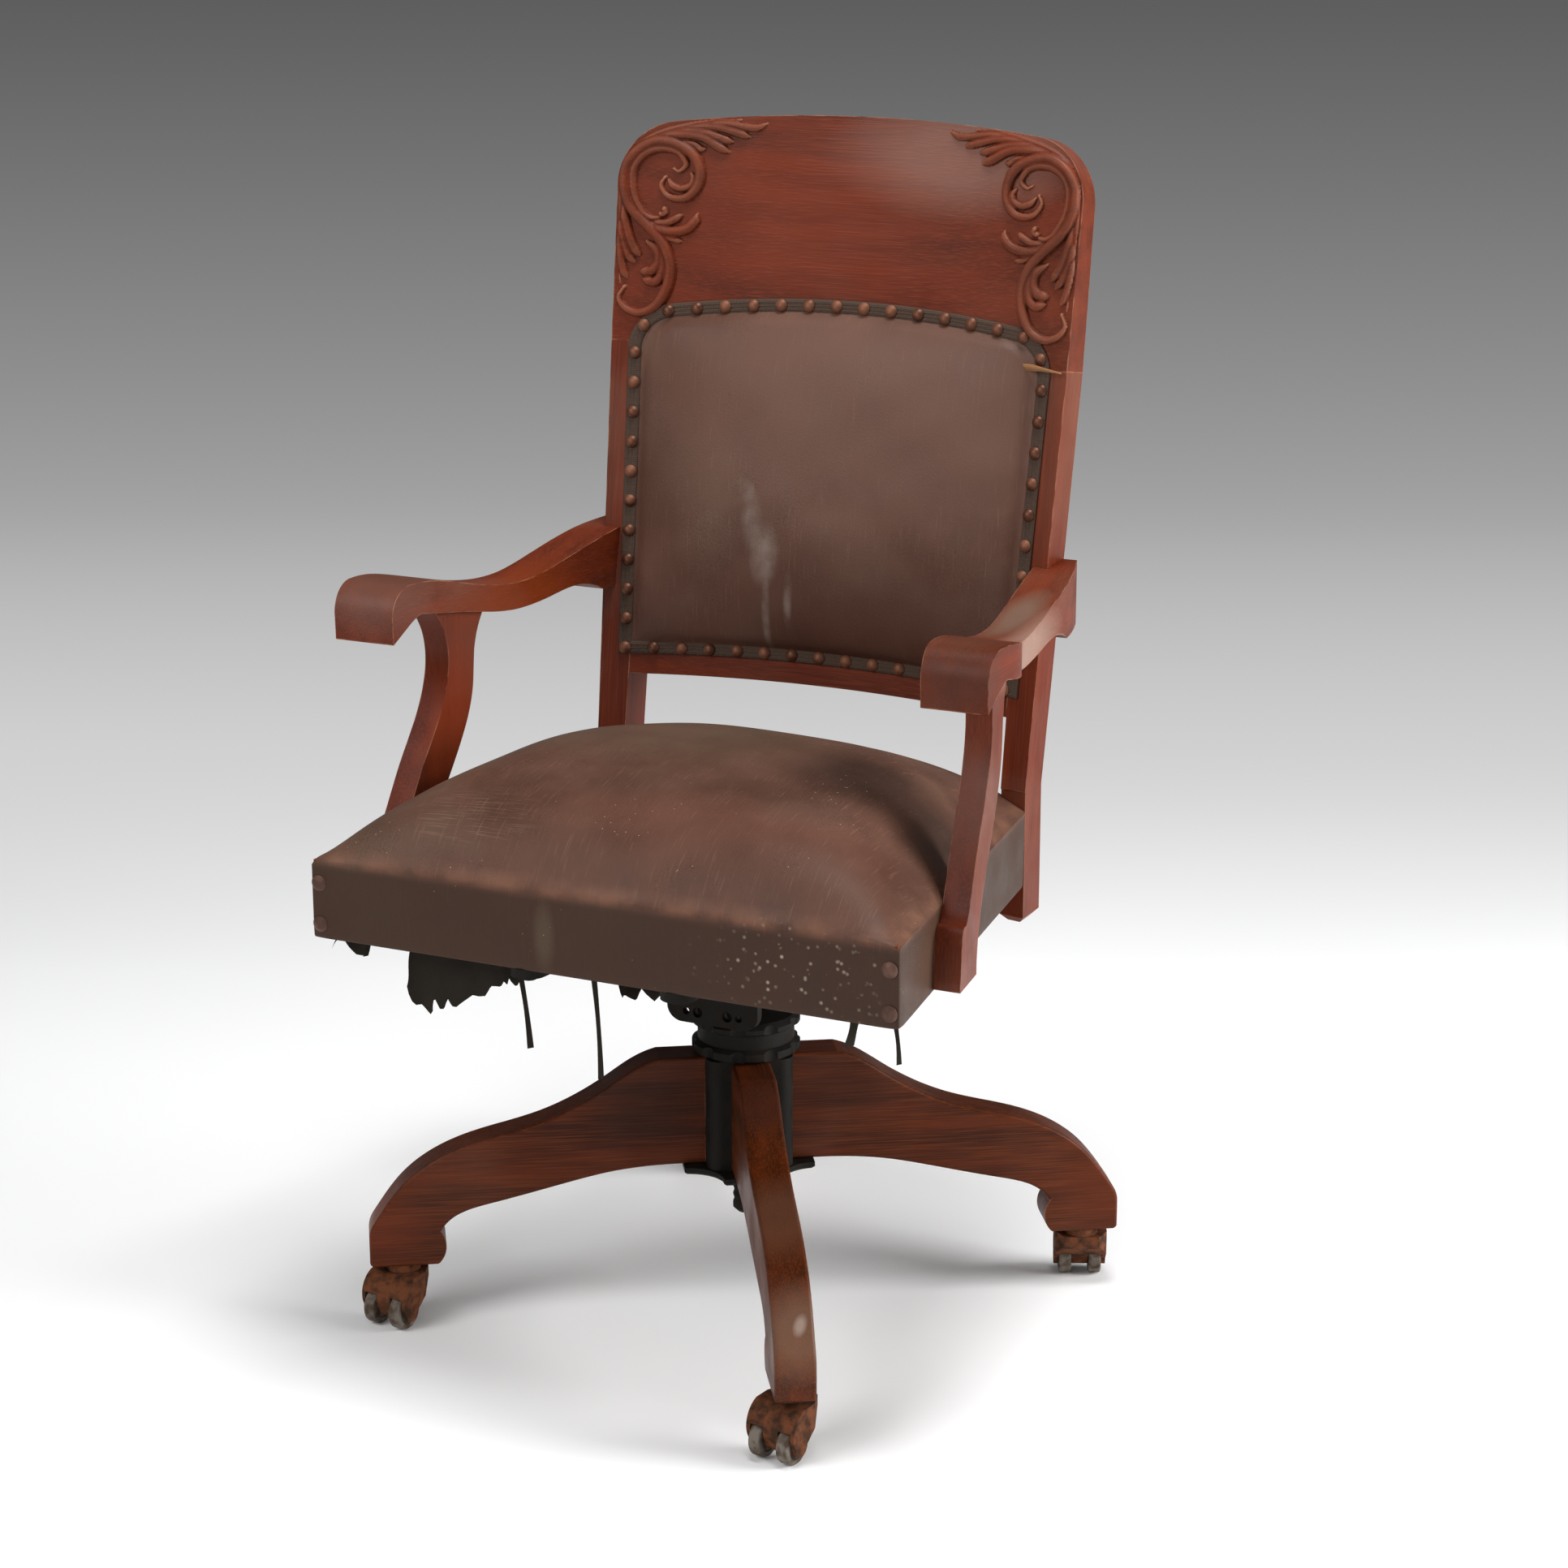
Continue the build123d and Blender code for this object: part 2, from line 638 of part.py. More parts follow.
def make_dust_cover():
    """What is left of the black cloth under the seat: a strip under the front rail and a hanging flap."""
    y0 = seat_front + leather + 2
    y1 = y0 + flap_setback
    right = flap_left + flap_width
    plan = [(flap_left, y0), (right, y0), (right, y1), (flap_left, y1)]
    strip = slab(plan, seat_bottom - cloth, seat_bottom)
    fold = flap_width / flap_folds
    swell = fold / 4
    wave = []
    for offset in (0, cloth):
        line = []
        level = y1 - swell - cloth + offset
        for i in range(flap_folds):
            x0 = flap_left + i * fold
            lift = swell if i % 2 else -swell
            line.append(ThreePointArc((x0, level), (x0 + fold / 2, level + lift), (x0 + fold, level)))
        wave.append(line)
    ends = [
        Line(wave[0][0] @ 0, wave[1][0] @ 0),
        Line(wave[0][-1] @ 1, wave[1][-1] @ 1),
    ]
    curtain = extrude(make_face(wave[0] + wave[1] + ends), amount=flap_drop)
    return strip + Pos(0, 0, seat_bottom - cloth - flap_drop) * curtain


def back_prism(face, n0, n1):
    """Prism on the raked back plane between two depths."""
    return back.location * Pos(0, 0, n0) * extrude(face, amount=n1 - n0)


def bow_bar(radius, lean=0.0, pivot=0.0):
    """Long round bar whose side is the bowed back surface, its axis running up the back."""
    length = 4 * crest_top
    bar_shape = Rot(90, 0, 0) * Cylinder(radius, length)
    return back.location * Pos(0, pivot, bow_centre) * Rot(lean, 0, 0) * bar_shape


def make_back_frame():
    """Posts, crest rail and lower rail cut to the same bowed surfaces."""
    front, rear = bow_bar(bow_radius), bow_bar(bow_radius + post_depth)
    reach = 2 * post_depth + bow_sag
    post_face = make_face(Polyline(
        (post_inner, -post_overlap), (post_outer_seat, -post_overlap), (post_outer_crest, crest_joint),
        (post_inner, crest_joint), close=True,
    ))
    upper = (back_prism(post_face, -reach, reach) & rear) - front
    inner_y, outer_y = post_front - bow(post_inner), post_front - bow(post_outer_seat)
    plan = [
        (post_inner, inner_y), (post_outer_seat, outer_y),
        (post_outer_seat, outer_y + post_depth), (post_inner, inner_y + post_depth),
    ]
    lower = slab(plan, post_bottom, rake_z)
    lower = chamfer(lower.faces().sort_by(Axis.Z)[0].edges(), post_foot_chamfer)
    right_post = upper + lower
    left_corner = (-crest_corner[0], crest_corner[1])
    left_shoulder = (-crest_shoulder[0], crest_shoulder[1])
    crest_face = make_face([
        Line((-post_outer_crest, crest_joint), (post_outer_crest, crest_joint)),
        Line((post_outer_crest, crest_joint), (crest_half, crest_straight)),
        ThreePointArc((crest_half, crest_straight), crest_corner, crest_shoulder),
        ThreePointArc(crest_shoulder, (0, crest_top), left_shoulder),
        ThreePointArc(left_shoulder, left_corner, (-crest_half, crest_straight)),
        Line((-crest_half, crest_straight), (-post_outer_crest, crest_joint)),
    ])
    lean = degrees(atan2(post_depth - crest_top_thickness, crest_top - crest_joint))
    crest_rear = bow_bar((bow_radius + post_depth) * cos(radians(lean)), lean, crest_joint)
    crest = (back_prism(crest_face, -2 * reach, reach) & crest_rear) - front
    rail_face = make_face([
        ThreePointArc((-post_inner, rail_low), (0, rail_low + rail_arch), (post_inner, rail_low)),
        Line((post_inner, rail_low), (post_inner, rail_high)),
        Line((post_inner, rail_high), (-post_inner, rail_high)),
        Line((-post_inner, rail_high), (-post_inner, rail_low)),
    ])
    lower_rail = (back_prism(rail_face, -2 * reach, reach) & rear) - front
    return right_post, mirrored(right_post), crest, lower_rail


def nail_line(grow=0.0):
    """Outline along which the back nails stand, in the raked plane, grown outwards all round."""
    low_x, low_y = nail_row_low[0] + grow, nail_row_low[1] - grow
    high_x, high_y = nail_row_side[0] + grow, nail_row_side[1]
    corner_x, corner_y = nail_row_corner[0] + grow * 0.8, nail_row_corner[1] + grow * 0.6
    top_x, top_y = nail_row_shoulder[0] + grow * 0.3, nail_row_shoulder[1] + grow
    return Wire([
        ThreePointArc((-low_x, low_y), (0, nail_row_low_middle - grow), (low_x, low_y)),
        Line((low_x, low_y), (high_x, high_y)),
        ThreePointArc((high_x, high_y), (corner_x, corner_y), (top_x, top_y)),
        ThreePointArc((top_x, top_y), (0, nail_row_top + grow), (-top_x, top_y)),
        ThreePointArc((-top_x, top_y), (-corner_x, corner_y), (-high_x, high_y)),
        Line((-high_x, high_y), (-low_x, low_y)),
    ])


def around(wire, spacing):
    """Evenly spaced points along a closed outline."""
    count = ceil(wire.length / spacing)
    return [wire.position_at(i / count) for i in range(count)]


def on_bow(point, lift):
    """Location on the bowed back, raised by lift, with local z out of the surface."""
    x, y = point.X, point.Y
    turn = degrees(asin(x / bow_radius))
    return back.location * Pos(x, y, bow(x)) * Rot(0, -turn, 0) * Pos(0, 0, lift)


def make_back_upholstery():
    """Crowned pad, braid, nails, inner liner, outside cover and its tacks."""
    path = nail_line()
    outer = make_face(nail_line(braid_width / 2))
    inner = make_face(nail_line(-braid_width / 2))
    reach = 2 * (bow_sag + post_depth)
    surface = bow_bar(bow_radius)
    flange_top = bow_bar(bow_radius - pad_leather)
    braid_top = bow_bar(bow_radius - pad_leather - braid_thickness)
    flange = (back_prism(outer, -reach, reach) & surface) - flange_top
    braid = (back_prism(outer - inner, -reach, reach) & flange_top) - braid_top
    half = nail_row_side[0] - braid_width / 2
    sections = []
    for height, rise in pad_crown:
        edge_n = bow(half) + pad_leather
        edges = [
            Line((-half, -reach / 2), (half, -reach / 2)),
            Line((half, -reach / 2), (half, edge_n)),
            ThreePointArc((half, edge_n), (0, rise - bow_sag), (-half, edge_n)),
            Line((-half, edge_n), (-half, -reach / 2)),
        ]
        station = Plane(origin=(0, height, 0), x_dir=(1, 0, 0), z_dir=(0, -1, 0))
        sections.append(station * make_face(edges))
    body = back.location * loft(sections)
    pad = (body & back_prism(inner, -reach, reach) & surface) + flange
    nails, shanks = [], []
    for point in around(path, nail_spacing):
        spot = on_bow(point, pad_leather + braid_thickness + slip)
        nails.append(spot * dome(nail_radius, nail_rise, nail_shank, nail_length))
        shanks.append(spot * rod(nail_shank, -nail_length, nail_rise))
    liner_face = Pos(0, (rail_high + crest_joint) / 2) * Rectangle(2 * post_inner, crest_joint - rail_high)
    liner_rear = bow_bar(bow_radius + clear + liner_thickness)
    liner = (back_prism(liner_face, -reach, reach) & liner_rear) - bow_bar(bow_radius + clear)
    cover_face = RectangleRounded(2 * outside_half, outside_high - outside_low, 2 * tack_inset)
    cover_face = Pos(0, (outside_low + outside_high) / 2) * cover_face
    cover_back = bow_bar(bow_radius + post_depth + outside_thickness)
    cover = (back_prism(cover_face, -2 * reach, reach) & cover_back) - bow_bar(bow_radius + post_depth)
    tack_row = Rectangle(2 * (outside_half - tack_inset), outside_high - outside_low - 2 * tack_inset)
    tack_row = (Pos(0, (outside_low + outside_high) / 2) * tack_row).faces()[0].outer_wire()
    tacks, tack_holes = [], []
    for point in around(tack_row, tack_spacing):
        spot = on_bow(point, -post_depth - outside_thickness - slip) * Rot(180, 0, 0)
        tacks.append(spot * dome(tack_radius, tack_rise, tack_shank, tack_length))
        tack_holes.append(spot * rod(tack_shank, -tack_length, tack_rise))
    trim = {
        "back_pad": pad - shanks,
        "back_braid": braid - shanks,
        "back_nails": Compound(children=nails),
        "back_liner": liner,
        "outside_back": cover - tack_holes,
        "outside_back_tacks": Compound(children=tacks),
    }
    return trim, shanks + tack_holes


def make_arm(post):
    """Right arm: a side outline cut to its plan, notched round the post."""
    top_end, under_end = (arm_rear, arm_top_end), (arm_rear, arm_heel[1])
    edges = [
        Line((arm_front, arm_front_bottom), arm_roll_side),
        ThreePointArc(arm_roll_side, arm_roll_nose, arm_roll_top),
        Spline(arm_roll_top, *arm_top, top_end, tangents=((1, 0.02), (1, 0.1))),
        Line(top_end, under_end),
        Line(under_end, arm_heel),
        Spline(arm_heel, *reversed(arm_under), arm_throat, tangents=((-1, 0.6), (-1, -0.5))),
        Line(arm_throat, (arm_front, arm_front_bottom)),
    ]
    shape = sided(edges, 0, arm_outer_front + 1)
    front = arm_front - 2
    inner_slope = (arm_inner_rear - arm_inner_front) / (post_front - arm_front)
    inner_end = arm_inner_front + inner_slope * (arm_rear - arm_front)
    roll_end = (arm_outer_front, arm_front + arm_roll_depth)
    plan = make_face([
        Line((arm_inner_front - inner_slope * 2, front), (arm_outer_front, front)),
        Line((arm_outer_front, front), roll_end),
        Spline(roll_end, *arm_outer, (arm_outer_rear, arm_rear + 1), tangents=((0, 1), (-0.35, 1))),
        Line((arm_outer_rear, arm_rear + 1), (inner_end, arm_rear + 1)),
        Line((inner_end, arm_rear + 1), (arm_inner_front - inner_slope * 2, front)),
    ])
    shape &= extrude(plan, amount=2 * arm_top_end)
    shape -= post
    return max(shape.solids(), key=lambda s: s.volume)


def make_support(arm):
    """Right arm support: an S outline held against the tapering seat side, under the arm."""
    front_low = (support_front[0][0], support_bottom)
    rear_low = (support_rear[0][0], support_bottom)
    front_high = (support_front_top[0], support_top_cut)
    rear_high = (support_rear_top[0], support_top_cut)
    edges = [
        Line(front_low, rear_low),
        Line(rear_low, support_rear[0]),
        Spline(*support_rear, support_rear_top, tangents=((0.1, 1), (1, 1.6))),
        Line(support_rear_top, rear_high),
        Line(rear_high, front_high),
        Line(front_high, support_front_top),
        Spline(support_front_top, *reversed(support_front), tangents=((1, -1), (-0.1, -1))),
        Line(support_front[0], front_low),
    ]
    shape = sided(edges, 0, 2 * seat_half_front)
    y0, y1 = 1.5 * support_front[0][0], 0
    outside = -support_thickness
    lane = [(side_x(y0), y0), (side_x(y0, outside), y0), (side_x(y1, outside), y1), (side_x(y1), y1)]
    shape = (shape & slab(lane, 0, 2 * support_top_cut)) - arm
    shape = min(shape.solids(), key=lambda s: s.center().Z)
    screws, holes = [], []
    rail_inside = leather + rail_thickness
    length = leather + support_screw_length
    for z in support_screw_heights:
        y = (support_front[0][0] + support_rear[0][0]) / 2 + (z - support_bottom) * support_lean
        turn = degrees(atan2(side_taper, 1))
        spot = Pos(side_x(y, rail_inside), y, z) * Rot(0, 0, turn) * Rot(0, 90, 0)
        screws.append(spot * screw(length))
        holes.append(spot * rod(screw_radius + joint_gap, -1, length + joint_gap))
    return shape, screws, holes


def make_caster():
    """Fork, axle and two wheels of a caster that trails along +X, standing on z = 0."""
    crown_top = floor_to_foot - collar_height - clear
    crown_low = crown_top - fork_crown_height
    half = caster_width / 2
    reach = caster_trail + axle_boss
    profile = make_face([
        Line((-fork_crown_radius, crown_top), (fork_crown_radius, crown_top)),
        ThreePointArc(
            (fork_crown_radius, crown_top),
            (reach + 2, (crown_top + caster_wheel_radius) / 2 + 3),
            (reach, caster_wheel_radius),
        ),
        ThreePointArc(
            (reach, caster_wheel_radius),
            (caster_trail, caster_wheel_radius - axle_boss),
            (caster_trail - axle_boss, caster_wheel_radius),
        ),
        Line((caster_trail - axle_boss, caster_wheel_radius), (-fork_crown_radius, crown_low)),
        Line((-fork_crown_radius, crown_low), (-fork_crown_radius, crown_top)),
    ])
    fork = extrude(Plane.XZ * profile, amount=half, both=True)
    fork &= slab(
        [(-fork_crown_radius - 1, -fork_crown_radius), (0, -half), (2 * reach, -half),
         (2 * reach, half), (0, half), (-fork_crown_radius - 1, fork_crown_radius)],
        0, floor_to_foot,
    )
    wheel_y = (caster_wheel_gap + caster_wheel_width) / 2
    pocket_radius = caster_wheel_radius + wheel_top_room
    pocket_width = caster_wheel_width + 2 * wheel_side_room
    wheels = []
    for side in (-1, 1):
        seat = Pos(caster_trail, side * wheel_y, caster_wheel_radius) * Rot(90, 0, 0)
        pocket = seat * Cylinder(pocket_radius, pocket_width)
        pocket += Pos(caster_trail, side * wheel_y, 0) * Box(
            2 * pocket_radius, pocket_width, 2 * caster_wheel_radius
        )
        fork -= pocket
        wheel = Cylinder(caster_wheel_radius, caster_wheel_width)
        wheel = fillet(wheel.edges(), wheel_edge_round)
        wheel -= Cylinder(axle_radius + slip, 2 * caster_wheel_width)
        for face_side in (-1, 1):
            dish = Cylinder(caster_wheel_radius - wheel_rim, 2 * wheel_dish)
            dish -= Cylinder(axle_radius + wheel_boss, 2 * caster_wheel_width)
            wheel -= Pos(0, 0, face_side * caster_wheel_width / 2) * dish
        wheels.append(seat * wheel)
    axle_seat = Pos(caster_trail, 0, caster_wheel_radius) * Rot(90, 0, 0)
    fork -= axle_seat * Cylinder(axle_radius, 2 * caster_width)
    fork += rod(stem_radius, crown_top - 1, floor_to_foot + stem_length)
    axle = axle_seat * Cylinder(axle_radius, caster_width)
    return fork, axle, wheels


def write(name, shape):
    """Writes one named piece."""
    export_step(shape, f"parts/{name}.step")


os.makedirs("parts", exist_ok=True)

# Base
hub, lip_plate, leg_screws = make_hub()
write("hub_casting", hub)
write("hub_lip_plate", lip_plate)
write("leg_screws", leg_screws)
leg_shape = make_leg()
collar = rod(collar_radius, floor_to_foot - collar_height, floor_to_foot, caster_radius)
collar -= rod(stem_radius + slip, 0, floor_to_foot + 1, caster_radius)
for name, yaw in legs:
    write(f"leg_{name}", Rot(0, 0, yaw) * leg_shape)
write("caster_collars", Compound(children=[Rot(0, 0, yaw) * collar for _, yaw in legs]))
write("height_handwheel", make_handwheel())
write("height_spindle", make_spindle())
washer = rod(washer_radius, shoulder_z, shoulder_z + washer_thickness)
write("thrust_washer", washer - rod(journal_radius + slip, 0, pivot_z))

# Casters
fork, axle, wheels = make_caster()
for name, yaw in legs:
    place = Rot(0, 0, yaw) * Pos(caster_radius, 0, 0) * Rot(0, 0, caster_yaws[name] - yaw)
    write(f"caster_fork_{name}", place * fork)
    write(f"caster_axle_{name}", place * axle)
    for letter, wheel in zip("ab", wheels):
        write(f"caster_wheel_{name}_{letter}", place * wheel)

# Tilting head
write("tilt_yoke", make_yoke())
iron, iron_screws, iron_holes = make_seat_iron()
write("seat_iron", iron)
write("pivot_pin", make_pin())
tilt_coil, tilt_gap = coil(spring_radius, spring_wire, spring_turns, spring_arm_z, iron_bottom)
print("tilt spring least gap", round(tilt_gap, 2))
for name, side in (("left", -1), ("right", 1)):
    write(f"tilt_spring_{name}", Pos(side * spring_x, spring_y, 0) * tilt_coil)

# Back, arms and seat
right_post, left_post, crest, lower_rail = make_back_frame()
back_trim, nail_holes = make_back_upholstery()
right_arm = make_arm(right_post)
right_support, support_screws, support_holes = make_support(right_arm)
posts = (left_post, right_post)
front_rail, left_rail, right_rail, rear_rail, blocks, webbing, springs = make_seat_frame(posts)
cushion = make_cushion(posts)
studs, stud_holes = make_studs()
left_holes = [mirrored(hole) for hole in support_holes]
all_holes = support_holes + left_holes + stud_holes + iron_holes
write("iron_screws", iron_screws)
write("seat_front_rail", front_rail - stud_holes - iron_holes)
write("seat_rear_rail", rear_rail - iron_holes)
write("seat_left_rail", left_rail - left_holes)
write("seat_right_rail", right_rail - support_holes)
write("corner_blocks", blocks)
write("seat_webbing", webbing)
write("seat_springs", springs)
write("seat_cushion", cushion - all_holes)
write("seat_studs", studs)
write("dust_cover", make_dust_cover())
for name, shape in back_trim.items():
    write(name, shape)
write("post_left", left_post - nail_holes)
write("post_right", right_post - nail_holes)
write("crest_rail", crest - nail_holes)
write("lower_back_rail", lower_rail - nail_holes)
write("arm_right", right_arm)
write("arm_left", mirrored(right_arm))
write("arm_support_right", right_support - support_holes)
write("arm_support_left", mirrored(right_support - support_holes))
write("support_screws", Compound(children=support_screws + [mirrored(item) for item in support_screws]))
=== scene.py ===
"""Looks of a worn oak swivel office armchair: carved crest, nailed leather back, domed leather seat."""

import json
import logging
import math
from collections.abc import Sequence
from dataclasses import dataclass
from enum import Enum

import bpy
import numpy as np
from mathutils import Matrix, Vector


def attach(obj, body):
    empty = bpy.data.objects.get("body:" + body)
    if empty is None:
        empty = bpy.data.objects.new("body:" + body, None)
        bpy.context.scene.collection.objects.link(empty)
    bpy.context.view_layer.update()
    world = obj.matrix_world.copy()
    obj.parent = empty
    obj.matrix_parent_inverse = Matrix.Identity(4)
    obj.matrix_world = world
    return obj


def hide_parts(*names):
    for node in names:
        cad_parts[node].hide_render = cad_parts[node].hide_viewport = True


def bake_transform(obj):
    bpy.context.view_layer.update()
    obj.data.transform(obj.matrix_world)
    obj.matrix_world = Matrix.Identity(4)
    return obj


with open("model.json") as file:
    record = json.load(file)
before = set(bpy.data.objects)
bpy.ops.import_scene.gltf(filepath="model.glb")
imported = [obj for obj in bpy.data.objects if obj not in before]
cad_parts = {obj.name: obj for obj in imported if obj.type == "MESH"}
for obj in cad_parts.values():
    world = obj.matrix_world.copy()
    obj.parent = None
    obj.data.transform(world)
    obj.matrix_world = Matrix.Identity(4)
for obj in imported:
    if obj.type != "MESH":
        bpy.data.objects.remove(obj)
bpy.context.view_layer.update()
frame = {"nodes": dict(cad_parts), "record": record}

logging.basicConfig(level=logging.INFO, format="%(message)s")
LOG = logging.getLogger("chair")
MM = 0.001
# Height in millimetres of the crease round the seat's top
CREASE = 443.0
# Rays with which a rounded edge or a hollow is felt out
SAMPLES = 6
Colour = tuple[float, float, float, float]
Points = list[tuple[float, float]]
Spot = tuple[float, float, float]
# Middle, half size, strength and hex code of a round mark, in millimetres
Mark = tuple[Spot, Spot, float, str]
Socket = bpy.types.NodeSocket
Material = bpy.types.Material
Piece = bpy.types.Object
Array = np.ndarray


class Grain(Enum):
    """Directions in which the grain of an oak piece runs."""

    ACROSS = (1.0, 0.0, 0.0)
    DEPTH = (0.0, 1.0, 0.0)
    UP = (0.0, 0.0, 1.0)
    RAKED = (0.0, 0.155, 0.988)
    LEG_RIGHT = (0.835, 0.550, 0.0)
    LEG_BACK = (-0.550, 0.835, 0.0)


def linear(code: str) -> Colour:
    """Turns an sRGB hex code into a linear colour.

    Args:
        code: Six hex digits.

    Returns:
        Linear red, green, blue and an alpha of one.
    """
    parts = [int(code[i:i + 2], 16) / 255 for i in (0, 2, 4)]
    red, green, blue = (c / 12.92 if c <= 0.04045 else ((c + 0.055) / 1.055) ** 2.4 for c in parts)
    return red, green, blue, 1.0


class Paint:
    """One node material under way, from its coordinates to its surface.

    Of a MapRange's inputs, 0 is the value, 1 and 2 the range it comes from, 3 and 4 the range it goes to.
    Of a colour Mix's inputs, 0 is the mask, 6 the colour below and 7 the one above.
    """

    def __init__(self, name: str) -> None:
        """Starts an empty material.

        Args:
            name: Name of the material.
        """
        self.material = bpy.data.materials.new(name)
        self.material.use_nodes = True
        self.tree = self.material.node_tree
        self.tree.nodes.clear()
        self.place = self.add("TexCoord", out="Object")

    def add(
        self, kind: str, inputs: dict | None = None, out: int | str = 0, **settings: object
    ) -> Socket | None:
        """Adds a node with its settings and links.

        Args:
            kind: Blender's node type without its ShaderNode prefix.
            inputs: Socket name or index to a value, or to the output that is linked to it.
            out: Output that is wanted.
            settings: Attributes of the node.

        Returns:
            The wanted output, or None where the node has none.
        """
        node = self.tree.nodes.new("ShaderNode" + kind)
        for key, value in settings.items():
            setattr(node, key, value)
        for key, value in (inputs or {}).items():
            if isinstance(value, Socket):
                self.tree.links.new(value, node.inputs[key])
            else:
                node.inputs[key].default_value = value
        return node.outputs[out] if node.outputs else None

    def blotches(
        self, size: Spot | float, low: float, high: float, share: float = 1.0, detail: float = 4.0,
        place: Socket | None = None,
    ) -> Socket:
        """Soft blotches of a real size.

        Args:
            size: Blotch size in millimetres, one number or one for each axis.
            low: Noise level at which blotches start.
            high: Noise level at which they are full.
            share: Strength of a full blotch.
            detail: Octaves of the noise.
            place: Coordinates, or the piece's own.

        Returns:
            Zero outside the blotches, share inside.
        """
        sizes = size if isinstance(size, tuple) else (size,) * 3
        scale = tuple(1 / (s * MM) for s in sizes)
        mapped = self.add("Mapping", {"Vector": place or self.place, "Scale": scale})
        noise = self.add("TexNoise", {"Vector": mapped, "Scale": 1.0, "Detail": detail})
        return self.add("MapRange", {0: noise, 1: low, 2: high, 3: 0.0, 4: share})

    def patch(self, centre: Spot, reach: Spot, share: float, ragged: Socket | None = None) -> Socket:
        """Soft round patch at a place on the chair.

        Args:
            centre: Middle of the patch in millimetres.
            reach: Half size along each axis in millimetres.
            share: Strength in the middle.
            ragged: Mask that breaks up the patch.

        Returns:
            The patch's mask.
        """
        scale = tuple(1 / (r * MM) for r in reach)
        shift = tuple(-c / r for c, r in zip(centre, reach))
        mapped = self.add("Mapping", {"Vector": self.place, "Scale": scale, "Location": shift})
        ball = self.add("TexGradient", {"Vector": mapped}, out=1, gradient_type="SPHERICAL")
        mask = self.add("MapRange", {0: ball, 1: 0.05, 2: 0.65, 3: 0.0, 4: share})
        if ragged is None:
            return mask
        return self.add("Math", {0: mask, 1: ragged}, operation="MULTIPLY")

    def edges(self, radius: float) -> Socket:
        """Mask of the arrises of a piece.

        Args:
            radius: Width of the edge zone in millimetres.

        Returns:
            Zero on flats, one on edges.
        """
        soft = self.add("Bevel", {"Radius": radius * MM}, samples=SAMPLES)
        hard = self.add("NewGeometry", out="Normal")
        alike = self.add("VectorMath", {0: soft, 1: hard}, out="Value", operation="DOT_PRODUCT")
        return self.add("MapRange", {0: alike, 1: 0.985, 2: 0.80})

    def marked(self, marks: tuple[Mark, ...]) -> list[tuple[Socket, str]]:
        """Mask and hex code of each of some round marks."""
        return [(self.patch(centre, reach, share), code) for centre, reach, share, code in marks]

    def coats(self, ground: Socket | Colour, *coats: tuple[Socket, str]) -> Socket:
        """Lays coats of colour over a ground, the first coat lowest.

        Args:
            ground: Colour below.
            coats: Mask and hex code of each coat.

        Returns:
            The colour with all coats.
        """
        colour = ground
        for mask, code in coats:
            colour = self.add("Mix", {0: mask, 6: colour, 7: linear(code)}, out=2, data_type="RGBA")
        return colour

    def close(self, relief: Socket, depth: float, rounding: float, **inputs: object) -> Material:
        """Ends the material with its relief and one principled surface.

        Args:
            relief: Height from 0 to 1.
            depth: Height of the relief in millimetres.
            rounding: Radius in millimetres by which sharp edges look softened.
            inputs: Principled inputs, with underscores for spaces.

        Returns:
            The finished material.
        """
        soft = self.add("Bevel", {"Radius": rounding * MM}, samples=SAMPLES)
        normal = self.add("Bump", {"Height": relief, "Strength": 1.0, "Distance": depth * MM, "Normal": soft})
        named = {key.replace("_", " "): value for key, value in inputs.items()}
        surface = self.add("BsdfPrincipled", {**named, "Normal": normal})
        self.add("OutputMaterial", {"Surface": surface})
        return self.material


